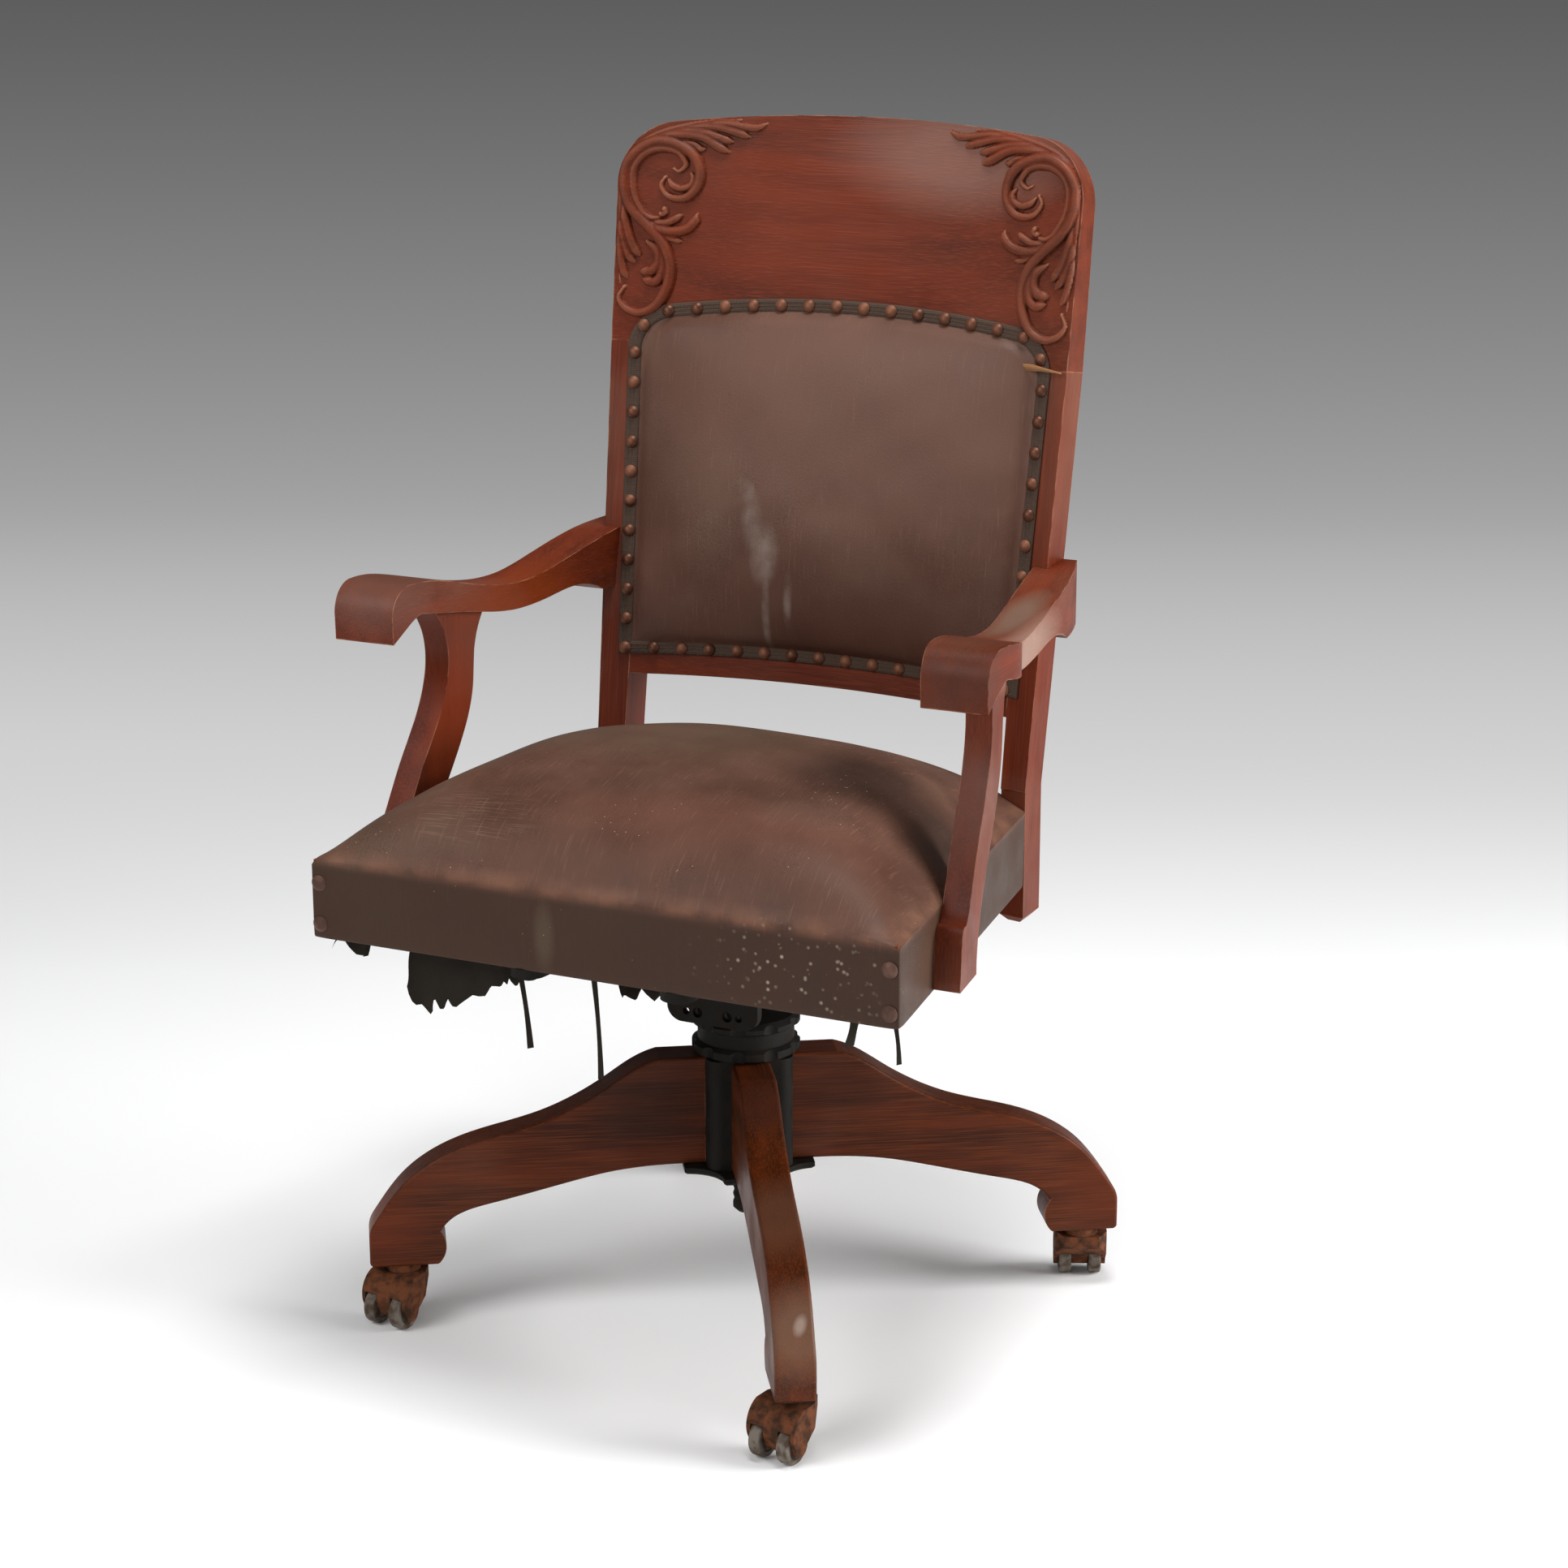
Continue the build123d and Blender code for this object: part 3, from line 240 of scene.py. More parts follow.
@dataclass(frozen=True)
class Oak:
    """Stained and varnished oak: red-brown, long open pores, dusty bloom, arrises rubbed pale."""

    dark: str = "4C1C0E"
    middle: str = "652611"
    light: str = "723118"
    bloom: str = "785242"
    rubbed: str = "A9785C"
    bloom_share: float = 0.4
    grime_and_shade: float = 0.0
    dirt_and_shade: str = "1E0B07"
    ring: float = 16.0
    sleek: float = 0.34
    dull: float = 0.52
    shine: float = 0.12
    marks: tuple[Mark, ...] = ()

    def make(self, name: str, grain: Grain) -> Material:
        """Builds the oak for one grain direction.

        Args:
            name: Name of the material.
            grain: Direction of the grain.

        Returns:
            The material.
        """
        p = Paint(name)
        turn = Vector(grain.value).rotation_difference(Vector((1, 0, 0))).to_euler()
        along = p.add("Mapping", {"Vector": p.place, "Rotation": turn})
        # Growth rings and pores run along the grain. Pores of 0.3 mm would not show, so they are 1.2 mm wide.
        figure = p.blotches((16 * self.ring, self.ring, self.ring), 0.35, 0.68, place=along)
        pores = p.blotches((60.0, 1.2, 1.2), 0.45, 0.75, 0.7, 5.0, along)
        rub = p.add("Math", {0: p.edges(1.6), 1: p.blotches(18.0, 0.40, 0.62)}, operation="MULTIPLY")
        colour = p.coats(
            linear(self.dark), (figure, self.middle), (pores, self.light),
            (p.blotches(120.0, 0.42, 0.72, self.bloom_share, 5.0), self.bloom),
            *p.marked(self.marks), (rub, self.rubbed),
        )
        if self.grime_and_shade:
            # Hollows are darkened partly by dirt and partly as painted shade; ridges are lightened partly by
            # wear and partly as a painted highlight
            open_sky = p.add("AmbientOcclusion", {"Distance": 5 * MM}, out="AO", samples=SAMPLES)
            hollow_dirt_and_shade = p.add("MapRange", {0: open_sky, 1: 0.80, 2: 0.30, 3: 0.0, 4: self.grime_and_shade})
            bend = p.add("NewGeometry", out="Pointiness")
            ridge_wear_and_highlight = p.add("MapRange", {0: bend, 1: 0.51, 2: 0.57, 3: 0.0, 4: 0.6})
            colour = p.coats(colour, (ridge_wear_and_highlight, self.rubbed), (hollow_dirt_and_shade, self.dirt_and_shade))
        worn = p.blotches(40.0, 0.3, 0.7)
        rough = p.add("MapRange", {0: worn, 3: self.sleek, 4: self.dull})
        return p.close(pores, 0.10, 0.9, Base_Color=colour, Roughness=rough, Specular_IOR_Level=self.shine)


# Worn side, dusty middle, redder front, a smear on the band, and the two parts of a painted shade of the
# right arm and its support
SEAT_MARKS_AND_SHADE = (
    ((265, -150, 410), (30, 130, 50), 0.5, "553B2B"),
    ((-60, -20, 515), (200, 120, 90), 0.5, "5A4A3C"),
    ((60, -200, 490), (200, 60, 60), 0.4, "643D30"),
    ((-45, -267, 408), (12, 30, 36), 0.2, "746553"),
    # Painted shade of the right arm and its support on the seat, in two parts
    ((150, -62, 510), (95, 80, 55), 0.7, "221A15"),
    ((212, -82, 475), (45, 80, 50), 0.65, "241B15"),
)
# Pale upper middle, partly dusty bloom and partly painted light, and painted shade at the foot and on the
# left side of the back
BACK_MARKS_AND_SHADE = (
    ((40, 160, 770), (260, 120, 150), 0.6, "6E5146"),
    ((60, 130, 570), (260, 90, 120), 0.75, "452A20"),
    ((-170, 150, 680), (70, 90, 200), 0.5, "50342A"),
)
# Middle, half size and strength of each part of the spill on the back, in millimetres
SPILL = (
    ((-76, 146, 694), (14, 60, 13), 0.75),
    ((-66, 145, 668), (12, 60, 30), 0.45),
    ((-52, 142, 640), (16, 60, 34), 0.70),
    ((-49, 140, 588), (5, 60, 42), 0.60),
    ((-28, 140, 600), (5, 60, 34), 0.55),
)


@dataclass(frozen=True)
class Leather:
    """Old upholstery leather: dark brown, clouded with dust, finely crazed, scuffed and a little glossy."""

    deep: str = "583B2F"
    body: str = "6C4A3B"
    dusty: str = "6E594A"
    scuff: str = "8E6C58"
    craze: str = "2A1A14"
    sleek: float = 0.42
    dull: float = 0.60
    shine: float = 0.15
    seat_marks: bool = False
    back_marks: bool = False

    def make(self, name: str) -> Material:
        """Builds the leather.

        Args:
            name: Name of the material.

        Returns:
            The material.
        """
        p = Paint(name)
        cloudy = p.blotches(70.0, 0.35, 0.65, 1.0, 6.0)
        # Crazing in cells of about 3 mm
        cells = {"Vector": p.place, "Scale": 1 / (3.2 * MM)}
        net = p.add("TexVoronoi", cells, out="Distance", feature="DISTANCE_TO_EDGE")
        crack = p.add("MapRange", {0: net, 1: 0.06, 2: 0.0, 3: 0.0, 4: 0.5})
        crazing = p.add("Math", {0: crack, 1: p.blotches(60.0, 0.45, 0.62, 1.0, 3.0)}, operation="MULTIPLY")
        colour = p.coats(
            linear(self.deep), (cloudy, self.body), (p.blotches(130.0, 0.50, 0.75, 0.6), self.dusty),
            (crazing, self.craze), (p.blotches((1.2, 26.0, 26.0), 0.60, 0.80, 0.35, 3.0), self.scuff),
        )
        if self.seat_marks:
            colour = self._seat_marks(p, colour)
        if self.back_marks:
            colour = self._back_marks(p, colour)
        rough = p.add("MapRange", {0: cloudy, 3: self.sleek, 4: self.dull})
        grain = p.add("Math", {0: net, 1: p.blotches(1.4, 0.2, 0.8)}, operation="ADD")
        return p.close(grain, 0.10, 0.6, Base_Color=colour, Roughness=rough, Specular_IOR_Level=self.shine)

    def _seat_marks(self, p: Paint, colour: Socket) -> Socket:
        """Adds the seat's band painted darker as shade, its pale lip, partly a painted highlight, painted
        shade of the right arm and its support, scratches and white specks.

        Args:
            p: The material under way.
            colour: Its colour so far.

        Returns:
            The marked colour.
        """
        height = p.add("SeparateXYZ", {0: p.place}, out="Z")
        # Below the crease the band is painted darker: painted shade of a side that the top light misses
        band = p.add("MapRange", {0: height, 1: (CREASE + 4) * MM, 2: (CREASE - 7) * MM, 3: 0.0, 4: 0.85})
        speck = p.add("TexVoronoi", {"Vector": p.place, "Scale": 1 / (6.5 * MM)}, out="Distance")
        spots = p.add("MapRange", {0: speck, 1: 0.30, 2: 0.08, 3: 0.0, 4: 0.85})
        few = p.add("Math", {0: spots, 1: p.blotches(18.0, 0.42, 0.58)}, operation="MULTIPLY")
        crumbs = p.add("MapRange", {0: speck, 1: 0.10, 2: 0.06, 3: 0.0, 4: 0.6})
        rare = p.add("Math", {0: crumbs, 1: p.blotches(60.0, 0.54, 0.60)}, operation="MULTIPLY")
        # The pale lip round the crease is partly scuffed and partly a painted highlight
        above = p.add("MapRange", {0: height, 1: (CREASE - 4) * MM, 2: (CREASE + 2) * MM})
        below = p.add("MapRange", {0: height, 1: (CREASE + 15) * MM, 2: (CREASE + 4) * MM, 3: 0.0, 4: 0.7})
        lip = p.add("Math", {0: above, 1: below}, operation="MULTIPLY")
        scuff_and_highlight = p.add("Math", {0: lip, 1: p.blotches(26.0, 0.35, 0.65)}, operation="MULTIPLY")
        streaks = p.blotches((36.0, 0.7, 5.0), 0.58, 0.64)
        return p.coats(
            colour, (band, "36251B"), (scuff_and_highlight, "76513F"), *p.marked(SEAT_MARKS_AND_SHADE),
            (p.patch((-130, -225, 488), (75, 50, 30), 0.25, streaks), "A58C73"),
            (p.patch((180, -267, 412), (110, 40, 45), 1.0, few), "A39583"), (rare, "B29A83"),
        )

    def _back_marks(self, p: Paint, colour: Socket) -> Socket:
        """Adds the back's pale upper middle, partly dust and partly painted light, painted shade at its foot
        and left side, and the pale spill that ran down it.

        Args:
            p: The material under way.
            colour: Its colour so far.

        Returns:
            The marked colour.
        """
        ragged = p.blotches(20.0, 0.28, 0.66, 0.85)
        return p.coats(
            colour, *p.marked(BACK_MARKS_AND_SHADE),
            *((p.patch(centre, reach, share, ragged), "877A70") for centre, reach, share in SPILL),
        )


@dataclass(frozen=True)
class Metal:
    """Old metal: one colour blotched with another, a pitted skin and edges rounded by use."""

    base: str
    blotch: str
    metallic: float
    rough: float
    blotch_size: float = 12.0
    pit: float = 0.15
    shine: float = 0.4

    def make(self, name: str) -> Material:
        """Builds the metal.

        Args:
            name: Name of the material.

        Returns:
            The material.
        """
        p = Paint(name)
        spread = p.blotches(self.blotch_size, 0.40, 0.62, 1.0, 6.0)
        colour = p.coats(linear(self.base), (spread, self.blotch))
        rough = p.add("MapRange", {0: spread, 3: self.rough, 4: min(1.0, self.rough + 0.2)})
        pits = p.blotches(1.5, 0.2, 0.8)
        return p.close(
            pits, self.pit, 0.5, Base_Color=colour, Roughness=rough, Metallic=self.metallic,
            Specular_IOR_Level=self.shine,
        )


@dataclass(frozen=True)
class Cloth:
    """Woven cloth: a matt plain weave, with its thread width in millimetres."""

    base: str
    thread: float
    relief: float = 0.2

    def make(self, name: str) -> Material:
        """Builds the cloth.

        Args:
            name: Name of the material.

        Returns:
            The material.
        """
        p = Paint(name)
        wave = {"Vector": p.place, "Scale": 1 / (self.thread * MM) / math.tau, "Distortion": 0.6}
        warp = p.add("TexWave", wave, out=1, bands_direction="X")
        weft = p.add("TexWave", wave, out=1, bands_direction="Z")
        weave = p.add("Math", {0: warp, 1: weft}, operation="MULTIPLY")
        gaps = p.add("MapRange", {0: weave, 1: 0.0, 2: 0.7, 3: 0.35, 4: 0.0})
        colour = p.coats(linear(self.base), (gaps, "0C0A08"))
        return p.close(weave, self.relief, 0.3, Base_Color=colour, Roughness=0.9, Specular_IOR_Level=0.1)


# Varnished oak of the posts: red-brown with a soft sheen
OAK = Oak()
# The same oak on arms, supports and side rails: dark on the scrolls, with a painted highlight on the right
# arm's outside
ARM_OAK = Oak(marks=(
    ((-262, -160, 640), (60, 60, 45), 0.6, "6A4A40"), ((271, -171, 632), (60, 40, 40), 0.6, "46291F"),
    ((262, -120, 655), (45, 70, 22), 0.6, "4A3024"), ((-262, -120, 655), (45, 70, 22), 0.5, "52301F"),
    # The pale mark on the right arm's outside, at x 262, is a painted highlight
    ((228, 40, 634), (22, 90, 18), 0.7, "6E5A4C"), ((262, 20, 616), (26, 130, 36), 0.6, "A08577"),
    ((-217, 0, 615), (50, 120, 40), 0.6, "7A3009"), ((-232, -80, 520), (26, 80, 120), 0.6, "7A2C08"),
))
# The same oak on crest and cross rails: even, with a pale patch at the upper right that is partly dust and
# partly a painted sheen
CREST_OAK = Oak(bloom_share=0.12, marks=(
    # The first mark, at the upper right, is partly dust and partly a painted sheen
    ((96, 218, 985), (140, 70, 60), 0.6, "866256"), ((-40, 195, 925), (150, 70, 85), 0.4, "78331A"),
    ((-150, 200, 900), (70, 60, 140), 0.3, "5A220F"),
))
# Darker, browner oak of the legs, with dark patches by the hub, and scuffed at the front
LEG_OAK = Oak(dark="331405", middle="50210A", light="6A3212", ring=14.0, bloom_share=0.15, marks=(
    ((-75, -50, 195), (80, 70, 60), 0.6, "260F06"), ((70, 45, 200), (60, 60, 40), 0.5, "2C1408"),
    ((123, -186, 169), (55, 65, 50), 0.8, "5C3A2A"), ((178, -261, 110), (40, 50, 50), 0.6, "745746"),
    ((177, -259, 114), (6, 11, 12), 0.55, "A39387"), ((60, -85, 222), (40, 50, 30), 0.6, "3A211A"),
    ((-275, -165, 90), (60, 60, 50), 0.5, "6E2E16"), ((270, 180, 95), (60, 60, 60), 0.4, "62280F"),
))
# Carved oak: hollows darkened by dirt and painted shade, ridges rubbed pale and partly painted as highlights,
# so that the relief reads
CARVED_OAK = Oak(bloom_share=0.2, grime_and_shade=0.75, rubbed="B27A5E")
# Seat leather: brown, rubbed on its front edge with a pale lip that is partly a painted highlight, painted
# shade on its band and by the right arm, a smear, and specks of white
SEAT_LEATHER = Leather(deep="4A3127", body="5A3D31", dusty="5C4B3E", seat_marks=True)
# Leather of the back pad: brown, with painted shade at its foot and left side, a pale upper middle that is
# partly painted light, and a pale spill
BACK_LEATHER = Leather(deep="4E342A", body="5C3F33", back_marks=True)
# Leather out of the light, on the outside of the back: unmarked
PLAIN_LEATHER = Leather()
# Blackened iron: near black and dull
BLACK_IRON = Metal("0D0B08", "1A1510", 0.0, 0.6, 20.0, shine=0.15)
# Rusted iron of the casters: matt orange-brown in patches
RUST = Metal("663A22", "3A271C", 0.1, 0.75, 9.0, 0.35, 0.15)
# Worn iron of the wheels: grey with rust in it
WHEEL_IRON = Metal("6E655B", "4A3A2E", 0.3, 0.65, 8.0, 0.3)
# Tarnished brass of nails and tacks: brown with a dim warm glint
BRASS = Metal("54301F", "7A4E38", 0.5, 0.42, 30.0, 0.05)
# Tarnished copper of the studs: nearly as brown as the leather
TARNISHED = Metal("5C3F33", "4C342A", 0.4, 0.5, 10.0, 0.08)
# Dried braid: pale tan and matt
DRIED_BRAID = Cloth("9A6E4B", 0.8, 0.2)
# Spring steel: dark grey with a dull shine
STEEL = Metal("4A443E", "2B2520", 0.8, 0.45, 15.0, 0.05)
# Upholstery braid: grey-brown and matt
BRAID = Cloth("54443A", 0.9, 0.25)
# Jute webbing: straw-coloured, coarse
JUTE = Cloth("8A7354", 1.6, 0.4)
# Black cambric: thin and dull. Its thread is drawn at 0.5 mm, coarser than real, to show
CAMBRIC = Cloth("2A2520", 0.5, 0.08)


def new_object(name: str, data: bpy.types.ID) -> Piece:
    """Adds an object to the scene.

    Args:
        name: Its name.
        data: Its mesh, lamp or camera.

    Returns:
        The object.
    """
    thing = bpy.data.objects.new(name, data)
    bpy.context.scene.collection.objects.link(thing)
    return thing


def new_mesh(name: str, verts: Array | list, faces: list, material: Material) -> bpy.types.Mesh:
    """Makes a mesh that is shaded smooth.

    Args:
        name: Its name.
        verts: Points in metres, one row each.
        faces: Corner indices of each face.
        material: Its finish.

    Returns:
        The mesh.
    """
    mesh = bpy.data.meshes.new(name)
    mesh.from_pydata(np.asarray(verts).tolist(), [], [list(map(int, f)) for f in faces])
    mesh.validate()
    mesh.update()
    mesh.polygons.foreach_set("use_smooth", [True] * len(mesh.polygons))
    mesh.materials.append(material)
    return mesh


def mesh_piece(name: str, verts: Array, faces: list, material: Material) -> Piece:
    """Makes a mesh from points in millimetres and lets it ride on the seat.

    Args:
        name: Name of the piece.
        verts: Points in millimetres, one row each.
        faces: Corner indices of each face.
        material: Its finish.

    Returns:
        The new piece.
    """
    mesh = new_mesh(name, np.asarray(verts) * MM, faces, material)
    piece = new_object(name, mesh)
    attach(piece, "seat")
    LOG.info("piece %s on seat, %d faces", name, len(mesh.polygons))
    return piece


def grid_faces(rows: int, columns: int, start: int = 0, flip: bool = False) -> list[tuple[int, ...]]:
    """Quads of a grid of points stored row by row.

    Args:
        rows: Number of rows of points.
        columns: Number of points in a row.
        start: Index of the first point.
        flip: Whether the faces look the other way.

    Returns:
        The quads.
    """
    faces = []
    for i in range(rows - 1):
        for j in range(columns - 1):
            a = start + i * columns + j
            quad = (a, a + 1, a + columns + 1, a + columns)
            faces.append(quad[::-1] if flip else quad)
    return faces


def ring_faces(low: Sequence[int], high: Sequence[int]) -> list[tuple[int, ...]]:
    """Quads between two closed rows of points, given by their indices."""
    count = len(low)
    return [(low[(k + 1) % count], low[k], high[k], high[(k + 1) % count]) for k in range(count)]


def smooth_line(points: Points | tuple, step: float) -> Array:
    """Even points along a smooth curve through the given ones.

    Args:
        points: Points that the curve passes.
        step: Distance between the results.

    Returns:
        One row for each point.
    """
    pts = np.array(points, float)
    padded = np.vstack([2 * pts[0] - pts[1], pts, 2 * pts[-1] - pts[-2]])
    dense = []
    for i in range(len(pts) - 1):
        p0, p1, p2, p3 = padded[i:i + 4]
        t = np.linspace(0, 1, 24, endpoint=False)[:, None]
        dense.append(0.5 * (2 * p1 + (p2 - p0) * t + (2 * p0 - 5 * p1 + 4 * p2 - p3) * t ** 2
                            + (3 * p1 - p0 - 3 * p2 + p3) * t ** 3))
    line = np.vstack([*dense, pts[-1:]])
    run = np.concatenate([[0], np.cumsum(np.linalg.norm(np.diff(line, axis=0), axis=1))])
    at = np.linspace(0, run[-1], max(3, int(run[-1] / step)))
    return np.stack([np.interp(at, run, line[:, k]) for k in range(line.shape[1])], axis=1)


@dataclass
class BackFrame:
    """The raked and bowed surface that the back's pieces share, in millimetres."""

    front: float = 122.0
    foot: float = 470.0
    rake: float = 8.93
    radius: float = 950.0
    half: float = 197.0

    def bow(self, across: Array) -> Array:
        """Depth out of the raked plane, towards the sitter, at distances from the middle."""
        return math.sqrt(self.radius ** 2 - self.half ** 2) - np.sqrt(self.radius ** 2 - across ** 2)

    def points(self, across: Array, up: Array, lift: Array) -> Array:
        """Places points on the back.

        Args:
            across: Distances from the middle.
            up: Heights up the back.
            lift: Heights above the bowed surface.

        Returns:
            Points in the chair's frame, one row each.
        """
        tilt = math.radians(self.rake)
        depth = self.bow(across) + lift
        y = self.front + up * math.sin(tilt) - depth * math.cos(tilt)
        z = self.foot + up * math.cos(tilt) + depth * math.sin(tilt)
        return np.stack([across, y, z], axis=-1).reshape(-1, 3)


BACK = BackFrame()
# Height of the seat's dome over the crease along its middle, from front to rear
KEEL = (
    (-267, 3), (-255, 21), (-240, 39), (-220, 52), (-190, 62), (-150, 70), (-100, 76), (-45, 78), (29, 69.5),
    (80, 54), (120, 40), (150, 28),
)
# How square the dome is across, as the power of its fall, from front to rear
FULLNESS = ((-267, 6.5), (-150, 5.2), (-45, 4.4), (29, 3.6), (80, 3.1), (150, 2.7))


@dataclass
class SeatCushion:
    """Domed seat over the rails, with a boxed leather band and a soft crease round its top."""

    front: float = -267.0
    half_front: float = 265.0
    taper: float = 0.14524
    post_front: float = 118.6
    post_inner: float = 183.7
    notch: float = 124.3
    rear: float = 149.7
    bottom: float = 377.0
    top: float = CREASE
    leather: float = 2.4
    gap: float = 0.6
    corner: float = 16.0
    middle: float = -70.0

    def half(self, y: Array) -> Array:
        """Half width of the seat.

        Args:
            y: Places from front to rear.

        Returns:
            Half widths.
        """
        side = self.half_front - self.taper * (y - self.front)
        at_post = self.half_front - self.taper * (self.post_front - self.front)
        neck = np.interp(y, [self.post_front, self.notch], [at_post, self.post_inner])
        return np.where(y < self.post_front, side, neck)

    def dome(self, share: Array, y: Array) -> Array:
        """Height of the dome above the crease.

        Args:
            share: Place across, from -1 to 1.
            y: Place from front to rear.

        Returns:
            Heights.
        """
        keel = smooth_line(KEEL, 2.0)
        ridge_wear_and_highlight = np.interp(y, keel[:, 0], keel[:, 1])
        fullness = np.interp(y, *zip(*FULLNESS))
        return ridge_wear_and_highlight * (1 - np.abs(share) ** fullness)

    def build(self, material: Material) -> Piece:
        """Makes the cushion as one closed skin.

        Args:
            material: Its leather.

        Returns:
            The cushion.
        """
        rows = np.concatenate([
            np.linspace(self.front, self.post_front, 110), np.linspace(self.post_front + 1.2, self.notch, 5),
            np.linspace(self.notch + 2, self.rear, 10),
        ])
        share = np.sin(np.linspace(-math.pi / 2, math.pi / 2, 121))
        y = np.repeat(rows[:, None], len(share), axis=1)
        t = np.repeat(share[None, :], len(rows), axis=0)
        x = t * self.half(y)
        rng = np.random.default_rng(7)
        waves = np.zeros_like(x)
        for _ in range(6):
            size = rng.uniform(0.2, 0.5)
            wide = rng.uniform(18, 40)
            deep = rng.uniform(15, 35)
            waves += size * np.sin(x / wide + y / deep + rng.uniform(0, 6))
        edge = np.minimum(1 - np.abs(t), np.minimum((y - self.front) / 120, 1)).clip(0, 1)
        z = self.top + self.dome(t, y) + waves * np.clip(edge * 6, 0, 1)
        top = np.stack([x, y, z], axis=-1)
        pull = self._corner_pull(x, y)
        aim = np.stack([0 - x, self.middle - y], axis=-1)
        top[..., :2] += aim / np.linalg.norm(aim, axis=-1, keepdims=True) * pull[..., None]
        top[..., 2] -= 2 * pull
        inset = self.leather + self.gap
        shrink = 1 - inset / self.half(y)
        depth = np.clip(y, self.front + inset, self.rear - 0.2)
        under = np.stack([x * shrink, depth, np.full_like(x, self.top - 0.2)], axis=-1)
        n, m = x.shape
        loop = [(0, j) for j in range(m)] + [(i, m - 1) for i in range(1, n)]
        loop += [(n - 1, j) for j in range(m - 2, -1, -1)] + [(i, 0) for i in range(n - 2, 0, -1)]
        verts = [top.reshape(-1, 3), under.reshape(-1, 3)]
        faces = grid_faces(n, m) + grid_faces(n, m, n * m, True)
        rim = np.array([top[i, j] for i, j in loop])
        toward = np.array([0.0, self.middle]) - rim[:, :2]
        toward /= np.linalg.norm(toward, axis=1)[:, None]
        # Height as a share of the band, and inset, of each row from the crease down to the turned-in hem
        skirt = [
            (0.975, 0.0), (0.93, 0.1), (0.75, 0.0), (0.45, 0.0), (0.15, 0.0), (0.03, 0.2), (0.0, 0.8),
            (0.0, self.leather), (0.5, self.leather),
        ]
        previous = [i * m + j for i, j in loop]
        start = 2 * n * m
        for height, inset in skirt:
            ring = rim.copy()
            ring[:, :2] += toward * inset
            ring[:, 2] = self.bottom + height * (np.minimum(rim[:, 2], self.top) - self.bottom)
            # Behind the posts there is no band, so its rows are folded away below the crease
            behind = rim[:, 1] > self.post_front - 0.5
            ring[behind, 2] = self.top - 0.1 - (1 - height) * 0.05
            verts.append(ring)
            current = list(range(start, start + len(loop)))
            faces += ring_faces(previous, current)
            previous, start = current, start + len(loop)
        faces += ring_faces(previous, [n * m + i * m + j for i, j in loop])
        cushion = mesh_piece("seat_leather", np.vstack(verts), faces, material)
        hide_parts("seat_cushion")
        return cushion

    def _corner_pull(self, x: Array, y: Array) -> Array:
        """How far the leather is drawn towards the middle at the two front corners."""
        reach = np.minimum(self.half(y) - np.abs(x) + y - self.front, self.corner)
        return (1 - reach / self.corner) ** 2 * self.leather * 0.9


@dataclass
class NailLine:
    """Outline along which the back's braid and nails run, in the raked plane."""

    low: tuple[float, float] = (188.0, 75.0)
    low_middle: float = 83.0
    side: tuple[float, float] = (196.0, 345.0)
    corner: tuple[float, float] = (187.0, 366.0)
    shoulder: tuple[float, float] = (162.0, 378.0)
    top: float = 390.5

    @staticmethod
    def arc(first: tuple, middle: tuple, last: tuple, count: int) -> Array:
        """Points on the arc through three points, without the last one.

        Args:
            first: Start.
            middle: Point on the arc.
            last: End.
            count: How many points.

        Returns:
            One row for each point.
        """
        a, b, c = (np.array(p, float) for p in (first, middle, last))
        m = np.array([b - a, c - a]) * 2
        centre = np.linalg.solve(m, [b @ b - a @ a, c @ c - a @ a])
        start, end, via = (math.atan2(*(p - centre)[::-1]) for p in (a, c, b))
        sweep = (end - start) % math.tau
        if (via - start) % math.tau > sweep:
            sweep -= math.tau
        turn = start + sweep * np.linspace(0, 1, count, endpoint=False)
        return centre + np.linalg.norm(a - centre) * np.stack([np.cos(turn), np.sin(turn)], axis=1)

    def closed(self, grow: float) -> Array:
        """The whole outline, grown outwards.

        Args:
            grow: Distance outwards.

        Returns:
            Points round the outline.
        """
        lx, ly = self.low[0] + grow, self.low[1] - grow
        sx, sy = self.side[0] + grow, self.side[1]
        cx, cy = self.corner[0] + grow * 0.8, self.corner[1] + grow * 0.6
        tx, ty = self.shoulder[0] + grow * 0.3, self.shoulder[1] + grow
        steps = np.linspace(0, 1, 180, endpoint=False)[:, None]
        right, left = np.array([[lx, ly], [sx, sy]]), np.array([[-sx, sy], [-lx, ly]])
        return np.vstack([
            self.arc((-lx, ly), (0, self.low_middle - grow), (lx, ly), 250),
            right[0] + (right[1] - right[0]) * steps,
            self.arc((sx, sy), (cx, cy), (tx, ty), 40),
            self.arc((tx, ty), (0, self.top + grow), (-tx, ty), 220),
            self.arc((-tx, ty), (-cx, cy), (-sx, sy), 40),
            left[0] + (left[1] - left[0]) * steps,
        ])


# Rows of the pad's skin as shares of its outline, closer together where it is drawn down at the rim
PAD_ROWS = (
    1.0, 0.985, 0.97, 0.955, 0.94, 0.925, 0.91, 0.89, 0.87, 0.85, 0.82, 0.79, 0.75, 0.7, 0.65, 0.6, 0.54,
    0.48, 0.42, 0.36, 0.3, 0.24, 0.18, 0.12, 0.07, 0.03,
)
PAD_REAR_ROWS = (1.0, 0.9, 0.6, 0.3, 0.05)


